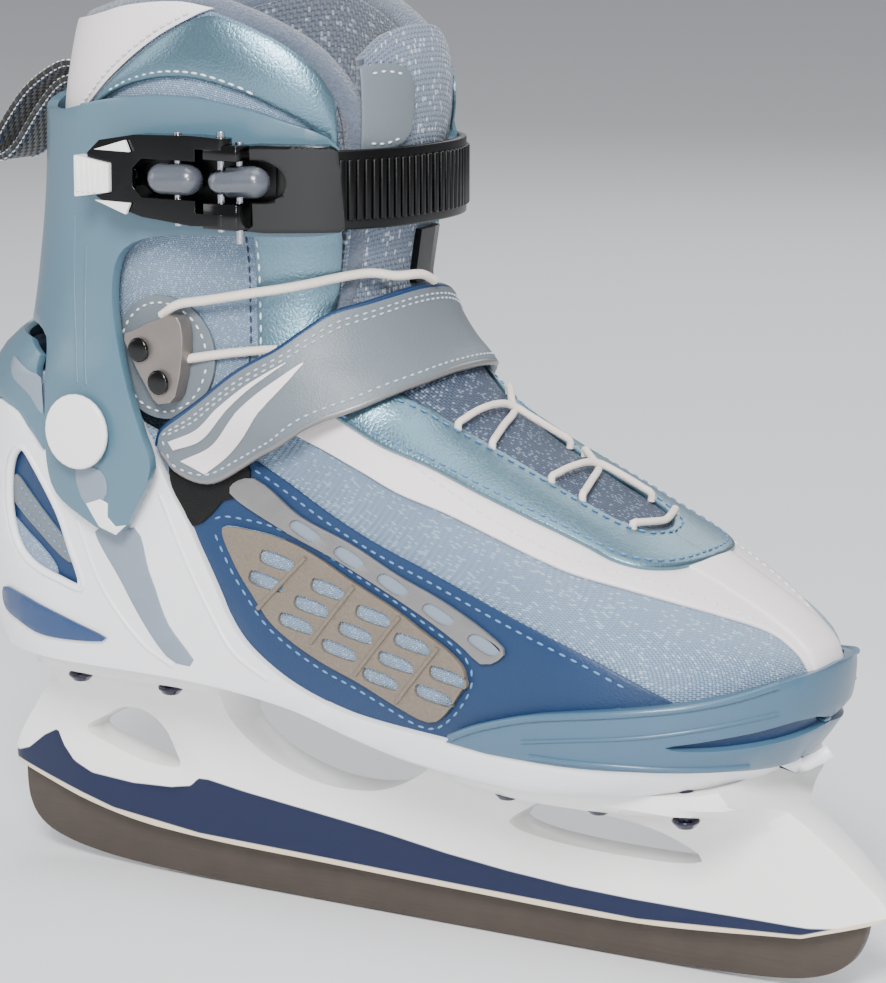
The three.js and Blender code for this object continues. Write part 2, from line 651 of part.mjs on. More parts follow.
// ---------------------------------------------------------------- lace lock, patch and upper lace
const lockAt = { x: -60, z: 160 };
const sideOf = (x, z, out) => -halfWidth(shaft, x, z, out);
add("lock_patch",
  skin(shaft, GAP, GAP + overlayThick).intersect(sideBlock(roundShape(
    between(0, 11, 11).map((i) => [
      lockAt.x + 16 * Math.cos((i * Math.PI) / 6), lockAt.z + 0.5 + 17 * Math.sin((i * Math.PI) / 6),
    ]), 1), -wide, 0)).subtract(sideBlock(flatShape([...quarterBottom, [12, 100], [-160, 100]]), -wide, 0)),
  "greyLeather");
const lockOutline = [[-69, 165], [-66, 168], [-54, 173], [-50, 171], [-49.5, 163], [-52, 151], [-56, 148.5], [-60, 150]];
const lockIn = sideOf(lockAt.x, lockAt.z, GAP * 2 + overlayThick);
add("lace_lock", sideBlock(roundShape(lockOutline, 2), lockIn - 5, lockIn), "greyPlastic");
[[-63.5, 163], [-57, 154.5]].forEach(([x, z], i) => {
  add(`lock_button_${i + 1}`, rodY(x, z, 3.4, lockIn - 6.6, lockIn - 5 - GAP, 16), "blackPlastic");
});

const guideX = -3;
function makeUpperLace() {
  const at = (x, z, off) => [x, sideOf(x, z, off), z];
  return cord([
    [-52, lockIn - 2.6, 175], at(-44, 177, 4.6), at(-31, 179.5, 6), at(-20, 181.5, 6.6), [-2.6, -14, 183.5], [1.6, -3, 184],
  ], lace.radius, 22);
}
add("lace_upper", makeUpperLace(), "lace");

// Black lace guide on the tongue, under the ladder strap.
add("lace_guide",
  skin(shaft, -1 + GAP, 1.4).intersect(box(-30, 30, 1, 15, 180, 195)), "blackPlastic");

// ---------------------------------------------------------------- ladder strap and buckle
// Plan path of the strap: clear of the cuff at the sides and of the tongue in front.
const bandClear = 2 * GAP + cuffWall;
function bandPoint(turn, out) {
  const z = band.high;
  const { rear, front } = ends(cuffForm, z, bandClear + out);
  const x = rear + ((front - rear) * (1 - Math.cos(turn))) / 2;
  return [x, -Math.sign(Math.sin(turn)) * halfWidth(cuffForm, x, z, bandClear + out)];
}
function bandShape(from, to, inside, outside, steps) {
  const turns = between(from, to, steps);
  return flatShape([
    ...turns.map((t) => bandPoint(t, inside)),
    ...turns.map((t) => bandPoint(t, outside)).reverse(),
  ]);
}
const ladderFrom = 2.16; // rad along the outline: under the buckle body
const ladderTo = 4.82; // behind the inner rivets
add("ladder_strap", cutAway(
  planBlock(bandShape(ladderFrom, ladderTo, 0, band.thick, 34), band.low, band.high),
  ...ladderRivetX.map((x) => rodY(x, ladderRivetZ, 2 + GAP, 0, wide, 12)),
), "blackPlastic");
ladderRivetX.forEach((x, i) => {
  const inside = halfWidth(cuffForm, x, ladderRivetZ, 0);
  const face = halfWidth(cuffForm, x - 4, band.high, bandClear + band.thick) + GAP;
  add(`ladder_rivet_${i + 1}`, join(
    rodY(x, ladderRivetZ, 2, inside + 0.4, face + 0.5, 12),
    rodY(x, ladderRivetZ, 4, face, face + 1.4, 14),
  ), "metal");
});

// Buckle frame: a plate on the cuff, two ears that hold the lever pin, and a body round the ladder.
const plateIn = (x) => -halfWidth(cuffForm, x, buckleMidZ, cuffWall + GAP);
const plateThick = 2;
const leverIn = plateIn(-50) - plateThick - GAP; // inner face of the lever
const pinY = leverIn - 3;
const bodyInside = band.thick + GAP;
const earGap = 5.2; // half height of the slot the bars lie in
const earThick = 3;
function makeFrame() {
  const xs = between(-72, -33, 8);
  const plate = planBlock(flatShape([
    ...xs.map((x) => [x, plateIn(x)]), ...xs.map((x) => [x, plateIn(x) - plateThick]).reverse(),
  ]), buckle.low + 4, buckle.high - 4);
  const wrap = planBlock(bandShape(1.95, 2.66, bodyInside, bodyInside + 3.6, 14), band.low - 0.5, band.high + 1.5)
    .subtract(box(-90, buckle.pinX + 4.4, -wide, 0, 150, 260));
  const ears = [-1, 1].map((up) => {
    const z = [buckleMidZ + up * earGap, buckleMidZ + up * (earGap + earThick)].sort((a, b) => a - b);
    return box(buckle.pinX - 5.5, buckle.pinX + 6.5, pinY - 2.8, leverIn + 1.2, z[0], z[1]);
  });
  const slot = sideBlock(
    roundShape([[-60, 216.4], [-26, 216.4], [-18.5, 214.6], [-16.8, 211], [-18.5, 207.4], [-26, 205.6], [-60, 205.6]], 2),
    -wide, -20);
  return cutAway(join(plate, wrap.subtract(slot), ...ears),
    rodZ(buckle.pinX, pinY, pin.radius + pin.clear, 150, 260),
    rodZ(pawlAt[0], pawlAt[1], pin.radius + pin.clear, 150, 260),
    fullForm(cuffForm, cuffWall + GAP),
    planBlock(bandShape(ladderFrom - 0.03, 3, -GAP, bodyInside, 12), band.low - 1, band.high + 2),
    ...buckleRivetX.map((x) => rodY(x, buckleMidZ, 2 + GAP, -wide, 0, 12)));
}
const pawlTurn = 2.02;
const pawlAt = bandPoint(pawlTurn, bodyInside + 1.8);
add("buckle_base", makeFrame(), "blackPlastic");
buckleRivetX.forEach((x, i) => {
  const face = plateIn(x) - plateThick;
  add(`buckle_rivet_${i + 1}`,
    rodY(x, buckleMidZ, 2, face + 0.2, -halfWidth(cuffForm, x, buckleMidZ, 0) - 0.4, 12), "metal");
});

// Lever: two cheeks round the frame's ears, joined at the finger end, with a slot for the thumb button.
const leverOutline = [
  [-74, 217], [-70, 220.5], [-58, 222.5], [-40, 223], [-26, 222.5], [-26, 199.5], [-40, 199], [-56, 200.5],
  [-68, 203.5], [-74, 207],
];
const cheek = earGap + earThick + GAP;
const leverSlot = [
  [-56, 216.2], [-38.5, 216.2], [-38.5, 211 + cheek], [-10, 211 + cheek], [-10, 211 - cheek],
  [-38.5, 211 - cheek], [-38.5, 205.8], [-56, 205.8], [-59, 208.5], [-59, 213.5],
];
const tabOutline = (grow) => flatShape([
  [-78 - 8 * grow, 216.2 + grow], [-66.4 + grow, 214.4 + grow], [-66.4 + grow, 206.6 - grow], [-78 - 8 * grow, 204.8 - grow],
]);
function makeLever() {
  const round = new THREE.Shape();
  round.absarc(buckle.pinX, pinY, buckle.deep / 2, 0, Math.PI * 2);
  const plan = join(planBlock(round, 150, 260), box(-90, buckle.pinX, leverIn - buckle.deep, leverIn, 150, 260));
  return cutAway(
    sideBlock(flatShape(leverOutline), leverIn - buckle.deep - 1, leverIn + 1).intersect(plan),
    sideBlock(flatShape(leverSlot), leverIn - 20, leverIn + 10),
    sideBlock(tabOutline(GAP + 0.1), leverIn - 20, leverIn - 2.2),
    rodZ(buckle.pinX, pinY, pin.radius + pin.clear, 150, 260),
    rodZ(thumbX, pinY, pin.radius + pin.clear, 150, 260));
}
const thumbX = -46;
add("buckle_lever", makeLever(), "blackPlastic");
add("lever_pin", rodZ(buckle.pinX, pinY, pin.radius, buckle.low - 1.4, buckle.high + 1.4), "metal");
add("thumb_pin", rodZ(thumbX, pinY, pin.radius, buckle.low - 0.6, buckle.high + 0.6), "metal");
add("pawl_pin", rodZ(pawlAt[0], pawlAt[1], pin.radius, band.low - 1.6, band.high + 2.6), "metal");

const tabIn = leverIn - 2.2 - GAP;
add("lever_tab", sideBlock(tabOutline(0), tabIn - 4.4, tabIn), "whitePlastic");
const wedgeIn = leverIn - buckle.deep - GAP;
[["upper", [[-71, 218], [-60.5, 221], [-59, 217.8]]], ["lower", [[-71, 204.4], [-59, 204.2], [-60.5, 201]]]]
  .forEach(([name, outline]) => {
    add(`lever_wedge_${name}`, sideBlock(flatShape(outline), wedgeIn - 1, wedgeIn), "whitePlastic");
  });

// A rounded bar lying in the slot, bored for its pin.
const barRadius = 4.3;
function bar(length, x, y, swing) {
  const geometry = new THREE.CapsuleGeometry(barRadius, length - 2 * barRadius, 4, 12);
  geometry.rotateZ(Math.PI / 2 + swing);
  geometry.translate(x, y, buckleMidZ);
  return solid(geometry);
}
add("thumb_button", cutAway(
  bar(16.5, thumbX - 0.3, pinY - 1, 0),
  box(-80, 0, leverIn - 0.4, 0, 150, 260),
  rodZ(thumbX, pinY, pin.radius + pin.clear, 150, 260),
), "greyPlastic");

const pawlSwing = Math.atan2(
  bandPoint(pawlTurn + 0.1, 5)[1] - bandPoint(pawlTurn - 0.1, 5)[1],
  bandPoint(pawlTurn + 0.1, 5)[0] - bandPoint(pawlTurn - 0.1, 5)[0],
);
add("release_pawl", cutAway(
  bar(17, pawlAt[0] + 0.4, pawlAt[1] - 0.8, pawlSwing),
  planBlock(bandShape(1.4, 2.7, -10, bodyInside - GAP, 24), 150, 260),
  box(-50, buckle.pinX + 2.4, pinY - 1.9, 0, 150, 260),
  rodZ(pawlAt[0], pawlAt[1], pin.radius + pin.clear, 150, 260),
), "greyPlastic");

// ---------------------------------------------------------------- instep strap
// It is sewn down low on the inner flank, folds open at the hinge line, crosses the instep, and its tip
// grips a patch on the outer flank. It clears both the boot and the quarters above it.
const strapSide = [
  [-62, 137], [-55, 144], [-42, 152.5], [-29, 160], [-17, 170], [-6, 178], [14, 182], [34, 160], [14, 158.5],
  [5, 156], [-5, 150], [-18, 141], [-33, 131], [-46, 126], [-57, 128],
];
const strapForm = {
  rear: footRear,
  front: curve([[110, 92], [117, 76], [124, 61], [131, 46], [137, 34], [144, 22], [150, 15], [157, 8.5], [163, 3], [170, -1.5], [178, -4.5], [190, -5]]),
  half: (x, z) => THREE.MathUtils.lerp(foot.half(x, z), 40, THREE.MathUtils.smoothstep(z, 128, 148)),
  heelRound: () => 40,
  toeRound: () => 60,
  levels: [118, 126, 134, 141, 148, 155, 162, 169, 176, 188],
  ring: 40,
};
const strapFold = 26; // y of the hinge line
const anchorOutline = [
  [-58, 124.5], [-53, 114], [-47, 118], [-45, 121.5], [-40, 123.5], [-41, 132], [-56, 134],
];
const anchorSkin = (side, outer) => skin(foot, GAP, outer).intersect(
  sideBlock(flatShape(anchorOutline), side < 0 ? -wide : 0, side < 0 ? 0 : wide));
const strapWhole = skin(strapForm, strapReach, strapReach + strapThick)
  .intersect(sideBlock(flatShape(strapSide), -wide, wide));
add("instep_strap", strapWhole.intersect(box(-90, 60, -wide, strapFold, 60, 220)), "greyLeather");
add("strap_root", join(
  strapWhole.intersect(box(-90, 60, strapFold + GAP, wide, 60, 220)), anchorSkin(INNER, strapReach + 1),
), "greyLeather");
add("strap_anchor", anchorSkin(OUTER, strapReach - 2 * GAP), "webbing");

export default model;
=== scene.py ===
# A soft recreational ice skate for the right foot: looks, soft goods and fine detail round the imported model.
# All sizes below are in millimetres; the last step of every piece turns them into metres.
import math

import bmesh
import bpy
import numpy as np
from mathutils import Matrix, Vector


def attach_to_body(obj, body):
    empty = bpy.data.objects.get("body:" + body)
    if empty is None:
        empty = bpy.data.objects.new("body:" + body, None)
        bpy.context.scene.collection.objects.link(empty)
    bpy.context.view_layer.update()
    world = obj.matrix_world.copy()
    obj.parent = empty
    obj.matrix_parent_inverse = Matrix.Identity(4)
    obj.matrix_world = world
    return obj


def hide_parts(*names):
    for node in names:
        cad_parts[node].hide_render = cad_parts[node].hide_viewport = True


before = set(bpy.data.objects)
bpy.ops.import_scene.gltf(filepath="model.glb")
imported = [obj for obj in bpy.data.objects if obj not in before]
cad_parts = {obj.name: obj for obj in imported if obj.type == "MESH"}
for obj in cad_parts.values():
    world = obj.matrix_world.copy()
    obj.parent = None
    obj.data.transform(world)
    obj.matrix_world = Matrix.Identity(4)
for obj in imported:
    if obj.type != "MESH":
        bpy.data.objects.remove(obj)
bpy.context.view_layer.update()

millimetre = 0.001

print("stage: camera and light")
studio = {"eye": (529.9, -848.0, 310.6), "target": (4.87, 0.0, 122.91), "lens": 134.8, "floorSize": 24.0,
          "contrast": 3.35}


def pointAt(place, goal):
    return (Vector(goal) - Vector(place)).to_track_quat("-Z", "Y").to_euler()


def addCamera():
    data = bpy.data.cameras.new("studioCamera")
    data.lens, data.sensor_width, data.sensor_fit = studio["lens"], 36.0, "AUTO"
    data.clip_start, data.clip_end = 0.05, 50
    seen = bpy.data.objects.new("studioCamera", data)
    bpy.context.scene.collection.objects.link(seen)
    seen.location = Vector(studio["eye"]) * millimetre
    seen.rotation_euler = pointAt(studio["eye"], studio["target"])
    bpy.context.scene.camera = seen


def addSoftbox(name, place, width, power):
    data = bpy.data.lights.new(name, "AREA")
    data.energy, data.size = power, width
    lamp = bpy.data.objects.new(name, data)
    bpy.context.scene.collection.objects.link(lamp)
    lamp.location = place
    lamp.rotation_euler = pointAt(place, (0, 0, 0.12))


addCamera()
addSoftbox("keyLight", (0.7, -1.5, 1.3), 0.6, 64)
addSoftbox("frontLight", (0.85, -1.25, 0.42), 0.22, 7)
addSoftbox("fillLight", (-1.7, -1.0, 0.7), 1.0, 9)
addSoftbox("rimLight", (-0.4, 1.5, 1.3), 1.2, 12)
addSoftbox("topLight", (0.3, -0.1, 1.9), 1.2, 16)

# Forms: the smooth bodies that the soft parts are laid on.


def smoothCurve(pairs):
    at = np.array([p[0] for p in pairs], float)
    value = np.array([p[1] for p in pairs], float)
    slope = np.empty(len(at))
    slope[1:-1] = (value[2:] - value[:-2]) / (at[2:] - at[:-2])
    slope[0] = (value[1] - value[0]) / (at[1] - at[0])
    slope[-1] = (value[-1] - value[-2]) / (at[-1] - at[-2])

    def read(x):
        x = np.clip(x, at[0], at[-1])
        i = np.clip(np.searchsorted(at, x, side="right") - 1, 0, len(at) - 2)
        h = at[i + 1] - at[i]
        t = (x - at[i]) / h
        s = 1 - t
        return ((1 + 2 * t) * s * s * value[i] + t * s * s * h * slope[i]
                + t * t * (3 - 2 * t) * value[i + 1] - t * t * s * h * slope[i + 1])

    return read


def easeIn(x, low, high):
    t = np.clip((x - low) / (high - low), 0, 1)
    return t * t * (3 - 2 * t)


footRear = smoothCurve([(54, -118), (62, -131), (70, -137), (80, -140.5), (92, -142), (110, -142.5),
                        (130, -141), (146, -138.5), (154, -134), (160, -127), (166, -118)])
footFront = smoothCurve([(54, 90), (60, 104), (66, 113), (76, 120.5), (86, 122.5), (92, 121), (96, 117),
                         (100, 111), (105, 102), (111, 90), (117, 76), (124, 61), (131, 46), (137, 34),
                         (144, 22), (150, 15), (157, 8.5), (166, 1)])
footPlan = smoothCurve([(-143, 33), (-120, 34), (-90, 35.5), (-50, 36), (-20, 38), (20, 43), (50, 46),
                        (75, 46.5), (100, 44), (124, 40)])
foreFullness = smoothCurve([(54, 0.86), (62, 0.95), (70, 1), (90, 1.02), (105, 1), (120, 0.94), (140, 0.9),
                            (166, 0.95)])
heelFullness = smoothCurve([(54, 0.85), (70, 0.95), (92, 1), (110, 1.04), (137, 1.12), (166, 1.14)])
shaftHalf = smoothCurve([(140, 40), (185, 40), (205, 41.5), (230, 44), (262, 43)])
cuffHalf = smoothCurve([(100, 41.5), (124, 44), (137, 45), (150, 45.2), (165, 44), (185, 42.6), (205, 43.1),
                        (236, 45.5)])


def footHalf(x, z):
    heel = easeIn(-x, 20, 80)
    return footPlan(x) * (foreFullness(z) * (1 - heel) + heelFullness(z) * heel)


def strapHalf(x, z):
    blend = easeIn(z, 128, 148)
    return footHalf(x, z) * (1 - blend) + 40 * blend


forms = {
    "foot": {"rear": footRear, "front": footFront, "half": footHalf, "heelRound": 44,
             "toeRound": smoothCurve([(54, 50), (86, 55), (100, 60), (140, 62), (166, 60)])},
    "shaft": {"rear": smoothCurve([(140, -121), (165, -120), (185, -117), (205, -114), (222, -111.5),
                                   (240, -108), (262, -104)]),
              "front": smoothCurve([(140, 14), (150, 5), (165, -3), (178, -6), (200, -3), (215, -1), (228, 1),
                                    (240, 1), (262, -6)]),
              "half": lambda x, z: shaftHalf(z), "heelRound": 62, "toeRound": lambda z: 58},
    "cuff": {"rear": smoothCurve([(100, -132), (150, -126), (165, -121.5), (185, -118.5), (205, -116),
                                  (240, -113.5)]),
             "front": smoothCurve([(100, 20), (150, 8), (178, -3), (200, 0), (240, 3)]),
             "half": lambda x, z: cuffHalf(z), "heelRound": 60, "toeRound": lambda z: 72},
    "strap": {"rear": footRear,
              "front": smoothCurve([(110, 92), (117, 76), (124, 61), (131, 46), (137, 34), (144, 22),
                                    (150, 15), (157, 8.5), (163, 3), (170, -1.5), (178, -4.5), (190, -5)]),
              "half": strapHalf, "heelRound": 40, "toeRound": lambda z: 60},
}
roundness = 2.2
wrapScale = 200  # near one flank's length, so that a sheet's flat outline is hardly squeezed


def formEnds(form, z, out):
    def lean(end):
        return out * np.hypot(1, end(z + 0.5) - end(z - 0.5))

    return form["rear"](z) - lean(form["rear"]), form["front"](z) + lean(form["front"])


def halfWidth(form, x, z, out=0.0):
    rear, front = formEnds(form, z, out)
    a = 1 - np.clip((x - rear) / form["heelRound"], 0, 1)
    c = 1 - np.clip((front - x) / form["toeRound"](z), 0, 1)
    ends = np.maximum((1 - a ** roundness) * (1 - c ** roundness), 0) ** (1 / roundness)
    return (form["half"](x, z) + out) * ends


def outsideOf(form, spot, out):
    x, y, z = spot[:, 0], spot[:, 1], spot[:, 2]
    rear, front = formEnds(form, z, out)
    a = np.maximum(0, 1 - (x - rear) / form["heelRound"]) ** roundness
    c = np.maximum(0, 1 - (front - x) / form["toeRound"](z)) ** roundness
    b = (np.abs(y) / (form["half"](x, z) + out)) ** roundness
    return np.maximum(b + a + c - a * c, 1e-6) ** (1 / roundness) - 1


def uphill(form, spot, out):
    slope = np.empty_like(spot)
    for axis in range(3):
        step = np.zeros(3)
        step[axis] = 0.05
        slope[:, axis] = (outsideOf(form, spot + step, out) - outsideOf(form, spot - step, out)) / 0.1
    return slope


def snap(form, spot, out):
    spot = np.array(spot, float)
    for _ in range(14):
        slope = uphill(form, spot, out)
        move = -(outsideOf(form, spot, out) / np.maximum((slope ** 2).sum(1), 1e-9))[:, None] * slope
        size = np.linalg.norm(move, axis=1, keepdims=True)
        spot = spot + move * np.minimum(1, 5 / np.maximum(size, 1e-9))
    return spot


def wrapOf(form, x, z):
    rear, front = formEnds(form, z, 0.0)
    return np.arccos(np.clip(1 - 2 * (x - rear) / (front - rear), -1, 1)) / math.pi


def unwrap(form, w, z, out=0.0):
    rear, front = formEnds(form, z, out)
    x = rear + (front - rear) * (1 - np.cos(np.pi * w)) / 2
    return np.stack([x, -np.sign(w) * halfWidth(form, x, z, out), z], 1)


def smoothLine(points, count, closed=False):
    # equally spaced points on a smooth line through the given ones
    p = np.array(points, float)
    if closed:
        p = np.vstack([p[-1:], p, p[:2]])
    else:
        p = np.vstack([2 * p[:1] - p[1:2], p, 2 * p[-1:] - p[-2:-1]])
    dense = []
    for i in range(1, len(p) - 2):
        t = np.linspace(0, 1, 12, endpoint=False)[:, None]
        dense.append(0.5 * (2 * p[i] + (p[i + 1] - p[i - 1]) * t
                            + (2 * p[i - 1] - 5 * p[i] + 4 * p[i + 1] - p[i + 2]) * t ** 2
                            + (3 * p[i] - p[i - 1] - 3 * p[i + 1] + p[i + 2]) * t ** 3))
    dense.append(p[-2:-1])
    dense = np.vstack(dense)
    run = np.concatenate([[0], np.cumsum(np.linalg.norm(np.diff(dense, axis=0), axis=1))])
    at = np.linspace(0, run[-1], count, endpoint=not closed)
    return np.stack([np.interp(at, run, dense[:, k]) for k in range(dense.shape[1])], 1)


def onForm(form, points, out):
    # (x, z) pairs go straight across to the outer flank; full points move square to the surface
    p = np.array(points, float)
    if p.shape[1] == 2:
        return np.stack([p[:, 0], -halfWidth(form, p[:, 0], p[:, 1], out), p[:, 1]], 1)
    return snap(form, p, out)


# Makers: each one lays a kind of piece on a form and ties it to its body.


def setCoords(bm, spots, uv=None):
    for vert, spot in zip(bm.verts, spots):
        vert.co = spot
    if uv is not None:
        layer = bm.loops.layers.uv.verify()
        bm.verts.index_update()
        for face in bm.faces:
            for loop in face.loops:
                loop[layer].uv = uv[loop.vert.index] * millimetre


def faceOut(bm, form, out):
    bm.normal_update()
    centres = np.array([f.calc_center_median() for f in bm.faces])
    normals = np.array([f.normal for f in bm.faces])
    if (normals * uphill(form, centres, out)).sum() < 0:
        bmesh.ops.reverse_faces(bm, faces=bm.faces[:])


def mirrorOver(bm, weld=0.02):
    made = bmesh.ops.duplicate(bm, geom=bm.verts[:] + bm.edges[:] + bm.faces[:])["geom"]
    faces = [g for g in made if isinstance(g, bmesh.types.BMFace)]
    for g in made:
        if isinstance(g, bmesh.types.BMVert):
            g.co.y = -g.co.y
    bmesh.ops.reverse_faces(bm, faces=faces)
    bmesh.ops.remove_doubles(bm, verts=bm.verts[:], dist=weld)


def attach(piece, body, replaces):
    bpy.context.scene.collection.objects.link(piece)
    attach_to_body(piece, body)
    if replaces:
        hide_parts(*replaces)
    return piece


def finishPiece(name, bm, look, body, replaces=(), slot=None, thick=0, bevel=0, offset=-1.0, corner=50):
    for vert in bm.verts:
        vert.co *= millimetre
    mesh = bpy.data.meshes.new(name)
    bm.to_mesh(mesh)
    bm.free()
    mesh.materials.append(look)
    mesh.polygons.foreach_set("use_smooth", [True] * len(mesh.polygons))
    piece = bpy.data.objects.new(name, mesh)
    if thick:
        wall = piece.modifiers.new("wall", "SOLIDIFY")
        wall.thickness, wall.offset = thick * millimetre, offset
    if bevel:
        edge = piece.modifiers.new("edge", "BEVEL")
        edge.width, edge.segments, edge.limit_method = bevel * millimetre, 2, "ANGLE"
        edge.angle_limit = math.radians(corner)
    return attach(piece, body, replaces)


def strip(name, edgeA, edgeB, look, form="foot", out=1.0, thick=1.0, body="boot", along=70, across=12,
          both=False, puff=0.0, bevel=0.35, **more):
    # a sheet between two edges, laid on a form
    shape = forms[form]
    lines = []
    for edge in (edgeA, edgeB):
        p = np.array(edge, float)
        if p.shape[1] == 2:  # measured round the form, so that the sheet follows it
            p = np.stack([wrapOf(shape, p[:, 0], p[:, 1]) * wrapScale, p[:, 1]], 1)
        lines.append(smoothLine(p, along + 1))
    bm = bmesh.new()
    bmesh.ops.create_grid(bm, x_segments=along, y_segments=across, size=0.5, calc_uvs=False)
    u = np.array([v.co.x for v in bm.verts]) + 0.5
    v = np.array([v.co.y for v in bm.verts]) + 0.5
    at = u * along
    pick = [np.stack([np.interp(at, np.arange(along + 1), line[:, k]) for k in range(line.shape[1])], 1)
            for line in lines]
    between = pick[0] * (1 - v[:, None]) + pick[1] * v[:, None]
    lift = out + puff * np.clip(np.sin(np.pi * v), 0, 1) ** 0.6 * np.clip(np.sin(np.pi * u), 0, 1) ** 0.25
    if between.shape[1] == 2:
        spots = unwrap(shape, between[:, 0] / wrapScale, between[:, 1], lift)
    else:
        spots = snap(shape, between, lift)
    length = sum(np.linalg.norm(np.diff(line, axis=0), axis=1).sum() / 2 for line in lines)
    width = np.linalg.norm(lines[0] - lines[1], axis=1).mean()
    setCoords(bm, spots, np.stack([u * length, v * width], 1))
    faceOut(bm, shape, out)
    if both:
        mirrorOver(bm)
    return finishPiece(name, bm, look, body, thick=thick, bevel=bevel, **more)


def addLoop(bm, points):
    verts = [bm.verts.new((a, b, 0)) for a, b in points]
    for a, b in zip(verts, verts[1:] + verts[:1]):
        bm.edges.new((a, b))


def cutAcross(bm, axis, cuts):
    # lines across a flat sheet, so that it can bend
    normal, place = [0, 0, 0], [0, 0, 0]
    normal[axis] = 1
    for cut in cuts:
        place[axis] = cut
        bmesh.ops.bisect_plane(bm, geom=bm.verts[:] + bm.edges[:] + bm.faces[:], plane_co=place,
                               plane_no=normal)


def patch(name, outline, look, form="foot", out=1.0, thick=1.0, body="boot", holes=(), cell=3.0, rounded=True,
          both=False, bevel=0.35, **more):
    # a sheet cut to an outline in side view, with holes, laid round a form
    shape = forms[form]
    bm = bmesh.new()
    for ring in [outline, *holes]:
        p = np.array(ring, float)
        p = np.stack([wrapOf(shape, p[:, 0], p[:, 1]) * wrapScale, p[:, 1]], 1)
        if rounded:
            p = smoothLine(p, max(16, len(p) * 4), closed=True)
        else:
            dense = []
            for a, b in zip(p, np.roll(p, -1, axis=0)):
                steps = max(1, int(np.linalg.norm(b - a) / cell))
                dense += [a + (b - a) * k / steps for k in range(steps)]
            p = np.array(dense)
        p = p[np.linalg.norm(p - np.roll(p, 1, axis=0), axis=1) > 0.08]
        addLoop(bm, p)
    bmesh.ops.triangle_fill(bm, use_beauty=True, edges=bm.edges[:])
    low = [min(v.co[k] for v in bm.verts) for k in (0, 1)]
    high = [max(v.co[k] for v in bm.verts) for k in (0, 1)]
    for axis in (0, 1):
        cutAcross(bm, axis, np.arange(low[axis] + cell * 0.7, high[axis], cell))
    flat = np.array([v.co for v in bm.verts])
    spots = unwrap(shape, flat[:, 0] / wrapScale, flat[:, 1], out)
    setCoords(bm, spots, np.stack([spots[:, 0], spots[:, 2]], 1))
    faceOut(bm, shape, out)
    if both:
        mirrorOver(bm)
    return finishPiece(name, bm, look, body, thick=thick, bevel=bevel, **more)


def ringSkin(name, look, form, out, low, high, body="boot", cols=150, rows=50, thick=3.0, **more):
    # a closed skin all round a form, from one height line to another
    shape = forms[form]
    bm = bmesh.new()
    bmesh.ops.create_grid(bm, x_segments=cols, y_segments=rows, size=0.5)
    w = np.array([v.co.x for v in bm.verts]) * 2
    t = np.array([v.co.y for v in bm.verts]) + 0.5
    ends = []
    for line, guess in ((low, 70.0), (high, 150.0)):
        z = np.full(len(w), guess)
        for _ in range(4):
            z = line(unwrap(shape, w, z)[:, 0])
        ends.append(z)
    z = ends[0] * (1 - t) + ends[1] * t
    spots = unwrap(shape, w, z, out)
    setCoords(bm, spots, np.stack([w * 160, z], 1))
    faceOut(bm, shape, out)
    bmesh.ops.remove_doubles(bm, verts=bm.verts[:], dist=0.02)
    return finishPiece(name, bm, look, body, thick=thick, **more)


def tube(name, points, radius, look, body="boot", closed=False, count=60, smooth=True, facets=2, replaces=(),
         slot=None):
    line = smoothLine(points, count, closed) if smooth else np.array(points, float)
    data = bpy.data.curves.new(name, "CURVE")
    data.dimensions, data.bevel_depth, data.bevel_resolution = "3D", 1.0, facets
    data.use_fill_caps = True
    run = data.splines.new("POLY")
    run.points.add(len(line) - 1)
    run.use_cyclic_u = closed
    for point, spot in zip(run.points, line):
        point.co = (*(np.array(spot) * millimetre), 1)
        point.radius = radius * millimetre
    data.materials.append(look)
    return attach(bpy.data.objects.new(name, data), body, replaces)


def tubePair(name, run, out, radius, look, form="foot", number="", count=60, closed=False, **more):
    # the same moulded line on each flank
    line = onForm(forms[form], smoothLine(run, count, closed), out)
    for side, flank in ((1, "Outer"), (-1, "Inner")):
        tube(f"{name}{flank}{number}", line * (1, side, 1), radius, look, closed=closed, smooth=False, **more)


stitchSets = {}


def stitches(setName, points, form="foot", out=1.0, pitch=3.4, size=1.15, radius=0.33, closed=False,
             both=False):
    # a row of short thread bars along a line
    line = onForm(forms[form], smoothLine(points, 60, closed), out)
    run = np.concatenate([[0], np.cumsum(np.linalg.norm(np.diff(line, axis=0), axis=1))])
    count = max(2, int(run[-1] / pitch))
    at = (np.arange(count) + 0.5) * run[-1] / count
    spots = np.stack([np.interp(at, run, line[:, k]) for k in range(3)], 1)
    ahead = np.stack([np.interp(at + 0.4, run, line[:, k]) for k in range(3)], 1)
    behind = np.stack([np.interp(at - 0.4, run, line[:, k]) for k in range(3)], 1)
    way = ahead - behind
    for side in ((1, -1) if both else (1,)):
        for spot, direction in zip(spots, way):
            stitchSets.setdefault(setName, []).append(
                (spot * (1, side, 1), direction * (1, side, 1), size, radius))


def sewStitches(setName, look, body, slot):
    bm = bmesh.new()
    for spot, direction, size, radius in stitchSets[setName]:
        turn = Vector(direction).to_track_quat("X", "Z").to_matrix().to_4x4()
        bmesh.ops.create_uvsphere(
            bm, u_segments=6, v_segments=4, radius=1,
            matrix=Matrix.Translation(spot) @ turn @ Matrix.Diagonal((size, radius, radius, 1)))
    return finishPiece(setName, bm, look, body, slot=slot)


# Materials: every look is one call of finish.


def tone(r, g, b):
    return tuple(((c / 255 + 0.055) / 1.055) ** studio["contrast"] for c in (r, g, b)) + (1,)


def addNode(tree, kind, inputs=None, **settings):
    node = tree.nodes.new("ShaderNode" + kind)
    for key, value in settings.items():
        setattr(node, key, value)
    for key, value in (inputs or {}).items():
        if isinstance(value, bpy.types.NodeSocket):
            tree.links.new(value, node.inputs[key])
        else:
            node.inputs[key].default_value = value
    return node


